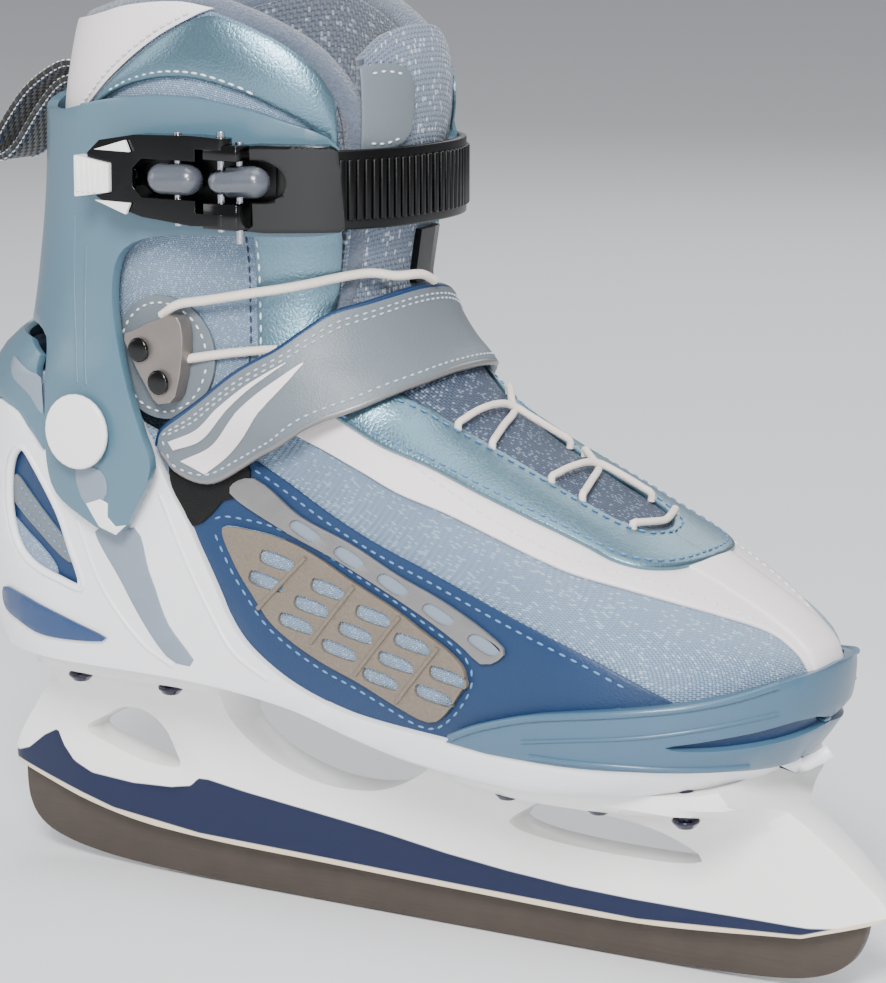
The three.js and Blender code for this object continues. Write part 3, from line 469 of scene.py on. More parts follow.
def calc(tree, operation, a, b=0.0, c=0.0):
    return addNode(tree, "Math", {0: a, 1: b, 2: c}, operation=operation).outputs[0]


def mixed(tree, factor, a, b):
    return addNode(tree, "Mix", {0: factor, 6: a, 7: b}, data_type="RGBA").outputs[2]


def finish(name, colour, rough=0.5, metal=0.0, coat=0.0, sheen=0.0, mottle=(25, 0.05), grain=None,
           leather=None, weave=None, brushed=None, paint=None, glassy=0.0, level=0.5):
    # sizes in millimetres: mottle and grain are (size, strength), leather (size, depth)
    look = bpy.data.materials.new(name)
    look.use_nodes = True
    tree = look.node_tree
    shader = tree.nodes["Principled BSDF"]
    shader.inputs["Metallic"].default_value = metal
    shader.inputs["Coat Weight"].default_value = coat
    shader.inputs["Coat Roughness"].default_value = 0.12
    shader.inputs["Sheen Weight"].default_value = sheen
    shader.inputs["Specular IOR Level"].default_value = level
    shader.inputs["Transmission Weight"].default_value = glassy
    place = addNode(tree, "TexCoord").outputs["Object"]
    size, amount = mottle
    cloud = addNode(tree, "TexNoise", {"Vector": place, "Scale": 1000 / size, "Detail": 3.0})
    shade = tuple(c * (1 - amount) for c in colour[:3]) + (1,)
    light = tuple(min(1.0, c * (1 + amount)) for c in colour[:3]) + (1,)
    hue = mixed(tree, cloud.outputs["Fac"], shade, light)
    roughness = calc(tree, "MULTIPLY_ADD", cloud.outputs["Fac"], 0.12, rough - 0.06)
    normal = None

    def bump(height, depth, strength=1.0):
        inputs = {"Height": height, "Distance": depth * millimetre, "Strength": strength}
        if normal is not None:
            inputs["Normal"] = normal
        return addNode(tree, "Bump", inputs).outputs["Normal"]

    if paint:
        hue = paint(tree, place, hue)
    if weave:
        # weave is (pitch across, pitch along, depth, dip tone, glint tone, glint share); the glints are
        # painted highlights
        pitchU, pitchV, depth, dark, bright, paintedGlintShare = weave
        uv = addNode(tree, "TexCoord").outputs["UV"]
        scaled = addNode(tree, "VectorMath", {0: uv, 1: (1000 / pitchU, 1000 / pitchV, 1)},
                         operation="MULTIPLY").outputs[0]
        parts = addNode(tree, "SeparateXYZ", {0: scaled})
        across = calc(tree, "ABSOLUTE", calc(tree, "SINE", calc(tree, "MULTIPLY", parts.outputs[0], math.pi)))
        down = calc(tree, "ABSOLUTE", calc(tree, "SINE", calc(tree, "MULTIPLY", parts.outputs[1], math.pi)))
        cellU, cellV = calc(tree, "FLOOR", parts.outputs[0]), calc(tree, "FLOOR", parts.outputs[1])
        over = calc(tree, "PINGPONG", calc(tree, "ADD", cellU, cellV), 1.0)
        height = calc(tree, "ADD", calc(tree, "MULTIPLY", down, over),
                      calc(tree, "MULTIPLY", across, calc(tree, "SUBTRACT", 1.0, over)))
        corner = addNode(tree, "CombineXYZ", {0: cellU, 1: cellV}).outputs[0]
        chance = addNode(tree, "TexWhiteNoise", {"Vector": corner}, noise_dimensions="2D").outputs[0]
        # darker where the threads dip towards the cell edges: partly the darker gaps between yarns, partly
        # painted shade
        hue = mixed(tree, calc(tree, "POWER", height, 0.7), dark, hue)
        # painted highlight: on a random share of thread cells the bright tone is painted over their raised
        # middles as glints
        paintedGlint = calc(tree, "MULTIPLY", calc(tree, "GREATER_THAN", chance, 1 - paintedGlintShare), height)
        hue = mixed(tree, paintedGlint, hue, bright)
        normal = bump(height, depth)
    if leather:
        size, depth = leather
        cells = addNode(tree, "TexVoronoi", {"Vector": place, "Scale": 1000 / size},
                        feature="DISTANCE_TO_EDGE")
        crease = addNode(tree, "TexNoise", {"Vector": place, "Scale": 400 / size, "Detail": 4.0})
        height = calc(tree, "ADD", calc(tree, "MINIMUM", cells.outputs["Distance"], 0.25),
                      calc(tree, "MULTIPLY", crease.outputs["Fac"], 0.5))
        normal = bump(height, depth)
    if grain:
        size, depth = grain
        fine = addNode(tree, "TexNoise", {"Vector": place, "Scale": 1000 / size, "Detail": 4.0,
                                          "Roughness": 0.6})
        normal = bump(fine.outputs["Fac"], depth)
    if brushed:
        stretched = addNode(tree, "Mapping", {"Vector": place, "Scale": brushed})
        lines = addNode(tree, "TexNoise", {"Vector": stretched.outputs[0], "Scale": 40.0, "Detail": 5.0})
        roughness = calc(tree, "MULTIPLY_ADD", lines.outputs["Fac"], 0.25, rough - 0.12)
        normal = bump(lines.outputs["Fac"], 0.12)
    tree.links.new(hue, shader.inputs["Base Color"])
    tree.links.new(roughness, shader.inputs["Roughness"])
    if normal is not None:
        tree.links.new(normal, shader.inputs["Normal"])
    return look


print("stage: finishes")
cream = tone(226, 216, 196)


def heightMask(tree, place, line, soft=0.0004):
    # 1 below a line z(x) given in millimetres, 0 above it
    parts = addNode(tree, "SeparateXYZ", {0: place})
    low, high = line[0][0], line[-1][0]
    ramp = addNode(tree, "ValToRGB", {0: calc(tree, "MULTIPLY_ADD", parts.outputs[0], 1000 / (high - low),
                                              -low / (high - low))})
    stops = ramp.color_ramp.elements
    for _ in range(len(line) - 2):
        stops.new(0.5)
    for stop, (x, z) in zip(stops, line):
        stop.position = (x - low) / (high - low)
        stop.color = (z / 100, z / 100, z / 100, 1)
    gap = calc(tree, "SUBTRACT", calc(tree, "MULTIPLY", ramp.outputs[0], 0.1), parts.outputs[2])
    return addNode(tree, "Clamp", {0: calc(tree, "MULTIPLY_ADD", gap, 1 / soft, 0.5)}).outputs[0]


def paintHolder(tree, place, hue):
    band = [(-142, 30.5), (-137.4, 32), (-131, 36.8), (-125.6, 39.5), (-123.4, 35), (-119.4, 30.8),
            (-112.6, 28), (-97.7, 27), (-84.2, 27.6), (-77, 29), (-74.4, 31.6), (-70.8, 31.8), (-57.6, 30),
            (-42.5, 28.4), (-25.4, 26.6), (-10.7, 25), (10, 22.2), (30, 20.2), (50, 18.9), (69.4, 18.4),
            (88.4, 18.4), (107, 18.6), (122, 18.6), (143, 21)]
    lip = [(-142, 28), (-105, 18.4), (-74, 15.2), (-28, 14.5), (15, 13.7), (71, 13), (120, 16.4), (143, 24)]
    hue = mixed(tree, heightMask(tree, place, band), hue, tone(18, 44, 86))
    return mixed(tree, heightMask(tree, place, lip), hue, cream)


whitePlastic = finish("whitePlastic", tone(243, 242, 240), 0.32, coat=0.35, grain=(0.9, 0.02),
                      mottle=(40, 0.015))
holderPlastic = finish("holderPlastic", tone(243, 242, 240), 0.3, coat=0.15, level=0.35, grain=(1.2, 0.012),
                       mottle=(40, 0.012), paint=paintHolder)
shellPlastic = finish("shellPlastic", tone(240, 240, 242), 0.38, coat=0.2, grain=(0.8, 0.03),
                      mottle=(30, 0.02))
cuffPlastic = finish("cuffPlastic", tone(112, 140, 154), 0.34, coat=0.2, grain=(0.7, 0.03), mottle=(30, 0.04))
capPlastic = finish("capPlastic", tone(98, 128, 148), 0.36, coat=0.25, grain=(0.7, 0.03), mottle=(30, 0.05))
blackGloss = finish("blackGloss", tone(2, 2, 5), 0.16, coat=0.25, level=0.35, grain=(0.8, 0.01),
                    mottle=(20, 0.2))
blackSatin = finish("blackSatin", tone(3, 4, 7), 0.34, level=0.3, grain=(0.6, 0.03), mottle=(20, 0.2))
greyBar = finish("greyBar", tone(112, 116, 124), 0.28, coat=0.5, glassy=0.12, mottle=(6, 0.12),
                 grain=(0.8, 0.02))
runnerSteel = finish("runnerSteel", tone(112, 104, 98), 0.5, metal=0.6, brushed=(1.5, 8, 30),
                     mottle=(9, 0.16))
brightMetal = finish("brightMetal", tone(205, 207, 212), 0.2, metal=1.0, mottle=(8, 0.1), grain=(0.7, 0.02))
rivetPaint = finish("rivetPaint", tone(44, 40, 78), 0.25, metal=0.5, coat=0.5, mottle=(5, 0.2))
lockMetal = finish("lockMetal", tone(158, 152, 148), 0.36, metal=0.6, mottle=(5, 0.14), grain=(0.5, 0.04))
badgeBlue = finish("badgeBlue", tone(40, 84, 130), 0.3, coat=0.5, mottle=(8, 0.1), grain=(0.6, 0.02))
stripeGrey = finish("stripeGrey", tone(150, 160, 172), 0.36, coat=0.2, mottle=(12, 0.06), grain=(0.7, 0.03))
leatherWhite = finish("leatherWhite", tone(238, 232, 232), 0.42, coat=0.12, leather=(1.5, 0.10),
                      mottle=(30, 0.02))
leatherSilver = finish("leatherSilver", tone(134, 160, 172), 0.34, metal=0.85, coat=0.1, leather=(1.3, 0.14),
                       mottle=(22, 0.06))
leatherNavy = finish("leatherNavy", tone(38, 78, 116), 0.45, leather=(1.2, 0.13), mottle=(22, 0.06))
leatherGrey = finish("leatherGrey", tone(132, 140, 146), 0.46, leather=(1.1, 0.12), mottle=(20, 0.05))
ventPlastic = finish("ventPlastic", tone(152, 143, 131), 0.42, metal=0.35, grain=(0.35, 0.12),
                     mottle=(0.6, 0.32))
trimPlastic = finish("trimPlastic", tone(158, 156, 156), 0.36, metal=0.45, grain=(0.5, 0.05), mottle=(6, 0.1))
# In each weave below the fifth entry is a painted glint tone, laid on a share of thread cells, and the fourth,
# the dip tone, is partly painted shade
meshSilver = finish("meshSilver", tone(160, 180, 200), 0.55, metal=0.25, sheen=0.3, mottle=(16, 0.08),
                    weave=(0.62, 0.5, 0.26, tone(112, 138, 166), tone(190, 208, 224), 0.14))
meshTongue = finish("meshTongue", tone(146, 158, 174), 0.7, metal=0.1, sheen=0.3, mottle=(14, 0.08),
                    weave=(0.9, 1.4, 0.25, tone(92, 104, 124), tone(206, 214, 224), 0.12))
throatMesh = finish("throatMesh", tone(112, 124, 142), 0.65, metal=0.2, mottle=(14, 0.08),
                    weave=(0.75, 0.8, 0.25, tone(66, 76, 98), tone(160, 172, 190), 0.16))
terryRim = finish("terryRim", tone(128, 136, 150), 0.92, sheen=0.5, grain=(0.9, 0.5), mottle=(8, 0.12),
                  weave=(1.5, 1.3, 0.3, tone(84, 90, 104), tone(176, 184, 196), 0.1))
terryRoll = finish("terryRoll", tone(120, 130, 146), 0.95, sheen=0.5, grain=(0.8, 1.2), mottle=(1.6, 0.35))
webbingBlack = finish("webbingBlack", tone(8, 9, 14), 0.8, sheen=0.3, mottle=(8, 0.15),
                      weave=(1.4, 1.4, 0.3, tone(6, 7, 10), tone(60, 66, 80), 0.08))
hookLoop = finish("hookLoop", tone(1, 2, 5), 0.6, sheen=0.0, grain=(0.5, 0.4), mottle=(0.8, 0.7), level=0.3)
laceCord = finish("laceCord", tone(232, 224, 216), 0.75, sheen=0.3, grain=(0.7, 0.3), mottle=(2, 0.08))
threadWhite, threadPale, threadNavy, threadGrey = [
    finish(name, colour, 0.7, sheen=0.2, mottle=(2, 0.05), grain=(0.3, 0.08))
    for name, colour in (("threadWhite", tone(228, 232, 236)), ("threadPale", tone(118, 158, 196)),
                         ("threadNavy", tone(40, 70, 110)), ("threadGrey", tone(196, 204, 212)))]

print("stage: hard parts kept from the model")
keptNodes = [
    (brightMetal, 0.1, ("pivot_pin_outer", "pivot_pin_inner")),
    (brightMetal, 0.2, ("runner_bolt_rear", "runner_bolt_front")),
    (brightMetal, 0.3, ("ladder_rivet_1", "ladder_rivet_2", "buckle_rivet_1", "buckle_rivet_2", "lever_pin",
                        "pawl_pin", "thumb_pin")),
    (rivetPaint, 0.2, [f"holder_rivet_{i}" for i in range(1, 11)]),
    (whitePlastic, 0.8, ("pivot_cap_outer", "pivot_cap_inner")),
    (whitePlastic, 0.4, ("lever_tab",)),
    (whitePlastic, 0.2, ("lever_wedge_upper", "lever_wedge_lower")),
    (blackGloss, 0.7, ("lock_button_1", "lock_button_2")),
    (blackGloss, 0.5, ("buckle_lever",)),
    (blackSatin, 0.5, ("lace_guide",)),
    (greyBar, 0.0, ("thumb_button", "release_pawl")),
    (lockMetal, 0.4, ("lace_lock",)),
    (terryRoll, 0.3, ("footbed",)),
]


def dressNode(name, look, soften):
    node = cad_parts[name]
    node.data.materials.clear()
    node.data.materials.append(look)
    node.data.polygons.foreach_set("use_smooth", [True] * len(node.data.polygons))
    weld = node.modifiers.new("weld", "WELD")
    weld.merge_threshold = 0.00001
    if soften:
        edge = node.modifiers.new("edge", "BEVEL")
        edge.width, edge.segments, edge.limit_method = soften * millimetre, 2, "ANGLE"
        edge.angle_limit = math.radians(32)
    shading = node.modifiers.new("shading", "WEIGHTED_NORMAL")
    shading.keep_sharp = False


for look, soften, nodeNames in keptNodes:
    for nodeName in nodeNames:
        dressNode(nodeName, look, soften)

soleLine = smoothCurve([(-150, 82), (-138, 74), (-125, 70), (-50, 69), (-20, 66.5), (0, 61.5), (22, 57),
                        (57, 55), (95, 57), (115, 62), (126, 70), (135, 84)])

print("stage: holder, shell, counter and toe cap")
holder = {
    "outline": [(-142.5, 27), (-105, 17.2), (-74, 14), (-28, 13.0), (15, 12.2), (71, 11.8), (120, 15.5),
                (142.4, 23), (142.4, 27.5), (138, 32), (130, 39.2), (121, 46), (113, 51.2), (109, 55)],
    "gap": [(26, 56.4), (18, 53), (8, 48.4), (2, 43.6), (-6, 39), (-16, 36.2), (-31, 36.2), (-46, 40),
            (-57, 46), (-63, 53), (-60, 60), (-53, 66)],
    "rear": [(-119, 69), (-123, 62), (-132, 49), (-140, 37.5), (-143.5, 31.5)],
    "windows": [[(-115.5, 40.6), (-109, 45.4), (-102, 49), (-94, 49), (-87, 44.6), (-83, 38), (-81.6, 34),
                 (-86, 33.2), (-94, 33.6), (-105, 36.4)],
                [(29.6, 33.6), (36, 38.6), (44, 42.6), (57, 42.4), (70, 40.6), (80, 37.6), (90, 32.4),
                 (84, 30.2), (70, 29.6), (53, 29.8), (38, 31)]],
    "web": 7.0, "heelHalf": 25.0, "ballHalf": 33.0, "middle": -20,
    "flareFrom": 28.5, "flareHeight": 22.5,  # the web spreads into flanges over this height under the sole
    "tipAt": 143.5, "tipRun": 26, "tipHalf": 3.2, "lipDepth": 1.5, "lipReach": 4.5,
    "grid": [(-142, 142, 4.0), (12, 74, 2.4)],
}


def holderHalf(x, z):
    sole = soleLine(x)
    rise = np.clip((z - (sole - holder["flareFrom"])) / holder["flareHeight"], 0, 1)
    isHeel = x < holder["middle"]
    flange = np.where(isHeel, holder["heelHalf"], holder["ballHalf"])
    low, high = np.where(isHeel, -127.0, 18.0), np.where(isHeel, -50.0, 115.0)
    ends = np.clip((x - low) / 16, 0, 1), np.clip((high - x) / 16, 0, 1)
    plan = np.prod([(1 - (1 - t) ** 2.2) ** 0.45 for t in ends], axis=0)
    half = holder["web"] + (flange - holder["web"]) * rise ** 4 * plan
    nose = np.clip((holder["tipAt"] - np.abs(x)) / holder["tipRun"], 0, 1) ** 0.5
    tip = holder["tipHalf"]
    half = np.where(rise < 0.6, np.minimum(half, tip + (half - tip) * nose), half)
    for window in holder["windows"]:
        ring = smoothLine(window, 60, True)
        gap = np.sqrt(((np.stack([x, z], 1)[:, None] - ring[None]) ** 2).sum(2)).min(1)
        half = half - holder["lipDepth"] * np.exp(-(gap / holder["lipReach"]) ** 2)
    return half


def makeHolder():
    bm = bmesh.new()
    top = [(x, float(soleLine(x)) - 0.4) for x in np.linspace(107, 28, 16)]
    heel = [(x, float(soleLine(x)) - 0.4) for x in np.linspace(-54, -117, 12)]
    gap, back = smoothLine(holder["gap"], 44), smoothLine(holder["rear"], 20)
    bottom, front = smoothLine(holder["outline"][:7], 60), smoothLine(holder["outline"][6:], 26)
    rings = [[*bottom, *front[1:], *top, *gap, *heel, *back]]
    rings += [smoothLine(window, 48, True) for window in holder["windows"]]
    for ring in rings:
        addLoop(bm, ring)
    bmesh.ops.triangle_fill(bm, use_beauty=True, edges=bm.edges[:])
    for axis, (low, high, cell) in enumerate(holder["grid"]):
        cutAcross(bm, axis, np.arange(low + cell * 0.37, high, cell))
    flat = np.array([v.co for v in bm.verts])
    half = holderHalf(flat[:, 0], flat[:, 1])
    setCoords(bm, np.stack([flat[:, 0], -half, flat[:, 1]], 1))
    bm.normal_update()
    if sum(f.normal.y * f.calc_area() for f in bm.faces) > 0:
        bmesh.ops.reverse_faces(bm, faces=bm.faces[:])
    mirrorOver(bm, weld=0.001)
    left = {e for e in bm.edges if e.is_boundary}
    loops = []
    while left:
        loop, queue = set(), [left.pop()]
        while queue:
            edge = queue.pop()
            loop.add(edge)
            near = {e for v in edge.verts for e in v.link_edges if e in left}
            left -= near
            queue += near
        spots = [v.co for e in loop for v in e.verts]
        loops.append((sum(s.x for s in spots) / len(spots), loop))
    loops.sort(key=lambda item: item[0])
    for near, far in zip(loops[::2], loops[1::2]):
        bmesh.ops.bridge_loops(bm, edges=list(near[1] | far[1]))
    bmesh.ops.recalc_face_normals(bm, faces=bm.faces[:])
    return finishPiece("bladeHolder", bm, holderPlastic, "boot", bevel=1.3, corner=42,
                       replaces=("blade_holder",))


runnerRun = {
    "low": [(-141.2, 26), (-141, 21), (-140.2, 15.6), (-137.6, 10.6), (-132.8, 7), (-126, 4.6), (-117, 2.8),
            (-104, 1.4), (-84, 0.5), (-60, 0.1), (-30, 0), (40, 0), (66, 0.1), (92, 0.6), (110, 1.7),
            (120.4, 3.4), (128, 6.4), (132.6, 10.4), (135.2, 15.2), (136.4, 20), (136.6, 26)],
    "high": [(130, 27), (112, 23), (60, 19), (0, 19), (-60, 20), (-100, 24), (-130, 31)], "half": 1.8,
}


def makeRunner():
    bm = bmesh.new()
    ring = [*smoothLine(runnerRun["low"], 150), *smoothLine(runnerRun["high"], 30)]
    verts = [bm.verts.new((x, -runnerRun["half"], z)) for x, z in ring]
    face = bm.faces.new(verts)
    side = bmesh.ops.extrude_face_region(bm, geom=[face])
    bmesh.ops.translate(bm, verts=[v for v in side["geom"] if isinstance(v, bmesh.types.BMVert)],
                        vec=(0, runnerRun["half"] * 2, 0))
    bmesh.ops.recalc_face_normals(bm, faces=bm.faces[:])
    return finishPiece("runnerBlade", bm, runnerSteel, "boot", bevel=0.3, corner=40, replaces=("runner",))


makeHolder()
makeRunner()
shellEdge = smoothLine([(-118, 143.2), (-110, 140.8), (-104.6, 135), (-100.6, 130), (-98.4, 134),
                        (-95.6, 144), (-91, 149), (-84, 150.4), (-76, 149), (-70, 145), (-65, 135),
                        (-60, 124), (-53, 111.6), (-44, 97), (-36, 85.4), (-28, 79), (-18, 73.8), (-6, 70),
                        (8, 67.6), (35, 66), (60, 65), (85, 65.4), (100, 66), (112, 69), (120, 73)], 130)
shellLow = [(x, float(soleLine(x)) + 0.2) for x in np.linspace(121, -136, 70)]
heelWindow = [(-110, 131), (-105, 126), (-98, 114), (-94, 103), (-90.5, 92), (-100, 93.5), (-110, 97),
              (-116, 103), (-118, 114), (-115.5, 126)]
patch("outsoleShell", [*shellEdge, (140, 73), (140, 68), *shellLow, (-160, 76), (-160, 143.4)], shellPlastic,
      out=3.3, thick=2.9, holes=[smoothLine(heelWindow, 40, True)], both=True, rounded=False, cell=4,
      bevel=0.9, replaces=("outsole_shell",))
floorPlate = {"rear": -139, "length": 262, "out": 3.0, "inset": 0.2, "wall": 3.6}


def makeSole():
    bm = bmesh.new()
    bmesh.ops.create_grid(bm, x_segments=80, y_segments=16, size=0.5)
    x = (np.array([v.co.x for v in bm.verts]) + 0.5) * floorPlate["length"] + floorPlate["rear"]
    side = np.array([v.co.y for v in bm.verts]) * 2
    z = soleLine(x)
    half = halfWidth(forms["foot"], x, z + 0.4, floorPlate["out"]) - floorPlate["inset"]
    setCoords(bm, np.stack([x, side * half, z + 0.1], 1))
    bmesh.ops.recalc_face_normals(bm, faces=bm.faces[:])
    if sum(f.normal.z for f in bm.faces) < 0:
        bmesh.ops.reverse_faces(bm, faces=bm.faces[:])
    return finishPiece("outsoleFloor", bm, shellPlastic, "boot", thick=floorPlate["wall"], offset=1.0,
                       slot="outsole_shell")


makeSole()
capTop = smoothLine([(33, 66.4), (38, 69.4), (46, 73), (60, 77.6), (72, 80), (85, 81.8), (102, 84.2),
                     (112, 86.4), (119, 88.6)], 50)
patch("toeCap", [*capTop, (140, 90), (140, 62.2), (112, 61.8), (102, 64), (84, 65), (60, 65), (45, 65.2)],
      capPlastic, out=3.9, thick=3.4, both=True, rounded=False, cell=3.5, bevel=0.9, replaces=("toe_cap",),
      holes=[smoothLine([(94, 72.2), (103, 73.8), (112, 75.4), (119.5, 77), (120.4, 74.4), (116, 71.8),
                         (107, 70.8), (98, 71)], 30, True)])
patch("heelCounter", [(-160, 143.6), (-118, 143.6), (-110, 141.2), (-104, 135), (-100.2, 130.6), (-99.2, 140),
                      (-99.4, 158), (-105, 162), (-160, 164.4)], cuffPlastic, out=2.6, thick=2.2, both=True,
      rounded=False, cell=4, bevel=0.5, replaces=("heel_counter",))

print("stage: boot body and overlays")
bootTop = smoothCurve([(-160, 158), (-120, 156), (-100, 152), (-83, 148), (-62, 138), (-45, 137), (-30, 142),
                       (-15, 150), (-5, 155), (12, 158)])
bootBody = {"wall": 3.0, "out": 0.2}
ringSkin("bootBody", meshSilver, "foot", bootBody["out"], lambda x: soleLine(x) + 5, bootTop,
         thick=bootBody["wall"], replaces=("boot_upper",))

navyOverlay = {
    "top": [(-46, 139), (-34, 133), (-22, 127.4), (-11, 122.4), (0, 118.2), (12, 114.4), (29, 109.8),
            (45, 104.8), (60, 100), (76, 94.5), (90, 88), (98, 83.5)],
    "low": [(-60, 118), (-50, 104), (-40, 88), (-30, 77), (-12, 69), (5, 63), (35, 63), (60, 72), (85, 78),
            (98, 81)],
}
strip("navyOverlay", navyOverlay["top"], navyOverlay["low"], leatherNavy, out=1.1, thick=1.0, both=True,
      along=90, slot="side_vent_outer")
stitches("navyStitches", [(-34, 131), (-22, 125.4), (-11, 120.4), (0, 116.2), (12, 112.4), (29, 107.8),
                          (45, 102.8), (60, 98), (76, 92.5), (88, 87)],
         out=1.15, both=True)

trimLine = {"top": [(-35, 128.6), (-20, 120.2), (-3, 115.2), (14, 109.2), (30, 104.2), (44, 98.4),
                    (52.4, 93)],
            "low": [(-42, 124), (-24, 115.4), (-6, 110.2), (9, 105.2), (25, 99.2), (39, 93), (46.4, 89)]}
windowLine = smoothCurve([(-23, 116), (9, 105.6), (40, 94)])
windowCorner = [(0.6, 0.6), (3, 3.0), (11.0, -0.2), (8.2, -2.4)]
trimWindows = [[(x + a, windowLine(x) + b) for a, b in windowCorner]
               for x in (-23 + 63 * i / 4 for i in range(5))]
patch("ladderTrim", [*trimLine["top"], *trimLine["low"][::-1]], trimPlastic, out=2.3, thick=1.1,
      holes=trimWindows, both=True, cell=4, slot="side_vent_outer")
strip("trimBacking", [(a - 0.6, b - 0.7) for a, b in trimLine["top"]][1:],
      [(a - 0.6, b + 0.6) for a, b in trimLine["low"]][1:],
      stripeGrey, out=1.6, thick=0.4, both=True, slot="side_vent_outer")

ventPanel = {
    "outline": [(-44, 114), (-34, 114.4), (-23, 113), (-12, 110), (1, 105), (15, 100), (26, 95), (35, 91),
                (40, 87), (40.5, 83), (38, 79), (34, 74), (30, 71), (25, 71), (16, 74), (5, 78), (-7, 81.5),
                (-18, 86), (-26, 91), (-33, 98), (-39, 105)],
    "slots": [(-25, 107.4), (-28, 101.4), (-7, 102), (-12, 96.6), (-16.5, 91.2), (9, 97), (4, 91.6),
              (-1.5, 86), (23, 91.4), (18, 85.6), (12.6, 80.2), (35, 84.2), (30.2, 78.4)],
    "slotHalf": (5.6, 2.1),
}


def ventSlot(x, z):
    a, b = ventPanel["slotHalf"]
    return [(x - a, z + b - 0.4), (x - a + 2, z + b + 0.3), (x + a - 1, z + b - 1.2),
            (x + a + 0.6, z + 0.4 - b), (x + a - 1.4, z - b - 0.5), (x - a + 0.6, z - b + 0.9)]


patch("sideVent", ventPanel["outline"], ventPlastic, out=2.6, thick=1.4,
      holes=[ventSlot(*at) for at in ventPanel["slots"]], both=True, cell=4, bevel=0.5,
      replaces=("side_vent_outer", "side_vent_inner"))
patch("ventMesh", ventPanel["outline"], meshSilver, out=1.5, thick=0.4, both=True, cell=5, bevel=0,
      slot="side_vent_outer")
for i, (low, high) in enumerate([((-29.5, 93.5), (-13.5, 109.5)), ((-11, 86.5), (4, 104)),
                                 ((4.5, 80), (20, 98.2)), ((18.5, 74.5), (33, 91.6))]):
    steps = np.linspace(0, 1, 6)[:, None]
    line = onForm(forms["foot"], np.array(low) + (np.array(high) - np.array(low)) * steps, 2.6)
    tube(f"ventRib.{i + 1}", line, 0.75, ventPlastic, count=16, slot="side_vent_outer")
    tube(f"ventRibInner.{i + 1}", line * (1, -1, 1), 0.75, ventPlastic, count=16, slot="side_vent_inner")
around = [(-46.5, 116), (-34, 116.8), (-22, 115), (-11, 112), (2, 107.2), (16, 102), (27.5, 97), (37, 92.5),
          (42.4, 88), (43, 82.6), (40, 77), (35.5, 72), (30, 68.6), (24, 68.8), (15, 71.8), (4, 75.6),
          (-8, 79), (-19, 83.6), (-28, 89), (-35, 96.4), (-41.2, 104.4)]
stitches("navyStitches", around, out=1.15, closed=True, both=True)

whiteToe = {
    "low": [(-22, -36, 142), (-10, -36, 138), (2, -36, 133.4), (14, -37, 129), (29, -37, 125), (44, -37, 120),
            (57, -37, 116), (68, -36, 113), (80, -32, 110), (91, -27, 107), (102, -20, 102.6), (112, -13, 98),
            (119, -11, 93), (121.5, -9, 87)],
    "high": [(-18, -30, 150), (0, -28, 145), (18, -27, 138), (32, -26, 133), (46, -25, 128), (60, -22, 123),
             (74, -17, 118), (84, -10, 114), (92, -5, 110), (102, -2, 105.4), (114, 0, 99), (123, 0, 87)],
}
strip("toeLeather", whiteToe["low"], whiteToe["high"], leatherWhite, out=1.3, thick=1.2, along=80,
      slot="boot_upper")
strip("toeLeatherInner", [(x, -y, z) for x, y, z in whiteToe["low"]],
      [(x, -y, z) for x, y, z in whiteToe["high"]],
      leatherWhite, out=1.3, thick=1.2, along=80, slot="boot_upper")
strip("toeCentre", [(84, -12, 114), (100, -10, 105.5), (112, -9, 98.5), (120, -8.5, 92), (122.5, -8, 85)],
      [(84, 12, 114), (100, 10, 105.5), (112, 9, 98.5), (120, 8.5, 92), (122.5, 8, 85)], leatherWhite,
      out=1.9, thick=1.2, puff=0.6, slot="boot_upper")
stitches("whiteStitches", [(8, -30.5, 139), (25, -31.5, 129.6), (44, -33.5, 121.8), (65, -32.6, 115),
                           (88, -23, 108.6), (101, -17, 103.5), (111, -12, 99)], out=1.35, both=True)

eyestay = {
    "outer": [(-12, -34, 148.6), (-3, -33.4, 144.4), (7, -33, 140), (21, -32, 136), (35, -31, 130),
              (49, -30, 125), (58, -29, 122), (66, -28, 119), (74, -27.4, 116), (81, -24, 114),
              (86.4, -17, 113), (89, -8, 113.6), (89.4, 0, 113.8)],
    "inner": [(-8, -25, 160), (-1, -25, 156.6), (5, -23, 153.6), (13, -19, 149), (26, -15.6, 141.4),
              (40, -13.6, 135), (52, -13, 129), (62, -12.6, 125), (68, -11, 122), (72.4, -7, 120.6),
              (74.6, -3, 120), (75, 0, 120)],
}
strip("eyestay", eyestay["outer"], eyestay["inner"], leatherSilver, out=2.6, thick=1.6, puff=0.5, both=True,
      along=90, bevel=0.6, replaces=("eyestay",))
stitches("paleStitches", [(-8, -31.6, 147.6), (7, -31, 141.4), (21, -30, 137), (35, -29, 131), (49, -28, 126),
                          (58, -27, 123), (66, -26, 120), (73.6, -25, 117), (79.6, -22, 115.2),
                          (84.2, -16, 114.2), (86.6, -8, 114.4), (87, 0, 114.6)], out=3.0, both=True)
stitches("paleStitches", [(5, -25, 152), (13, -21.2, 148), (26, -18, 141), (40, -16, 134.4),
                          (52, -15.4, 128.4), (62, -15, 124.4), (69.6, -13, 121), (74.8, -8.6, 119.2),
                          (77.2, 0, 118.8)], out=3.1, both=True)
strip("lowerTongue", [(-6, -26, 160), (5, -24, 154), (26, -18, 141), (45, -15, 131), (60, -15, 125),
                      (79, -13, 116)],
      [(-6, 26, 160), (5, 24, 154), (26, 18, 141), (45, 15, 131), (60, 15, 125), (79, 13, 116)], throatMesh,
      out=0.9, thick=1.5, puff=1.6, across=24, replaces=("tongue_lower",))

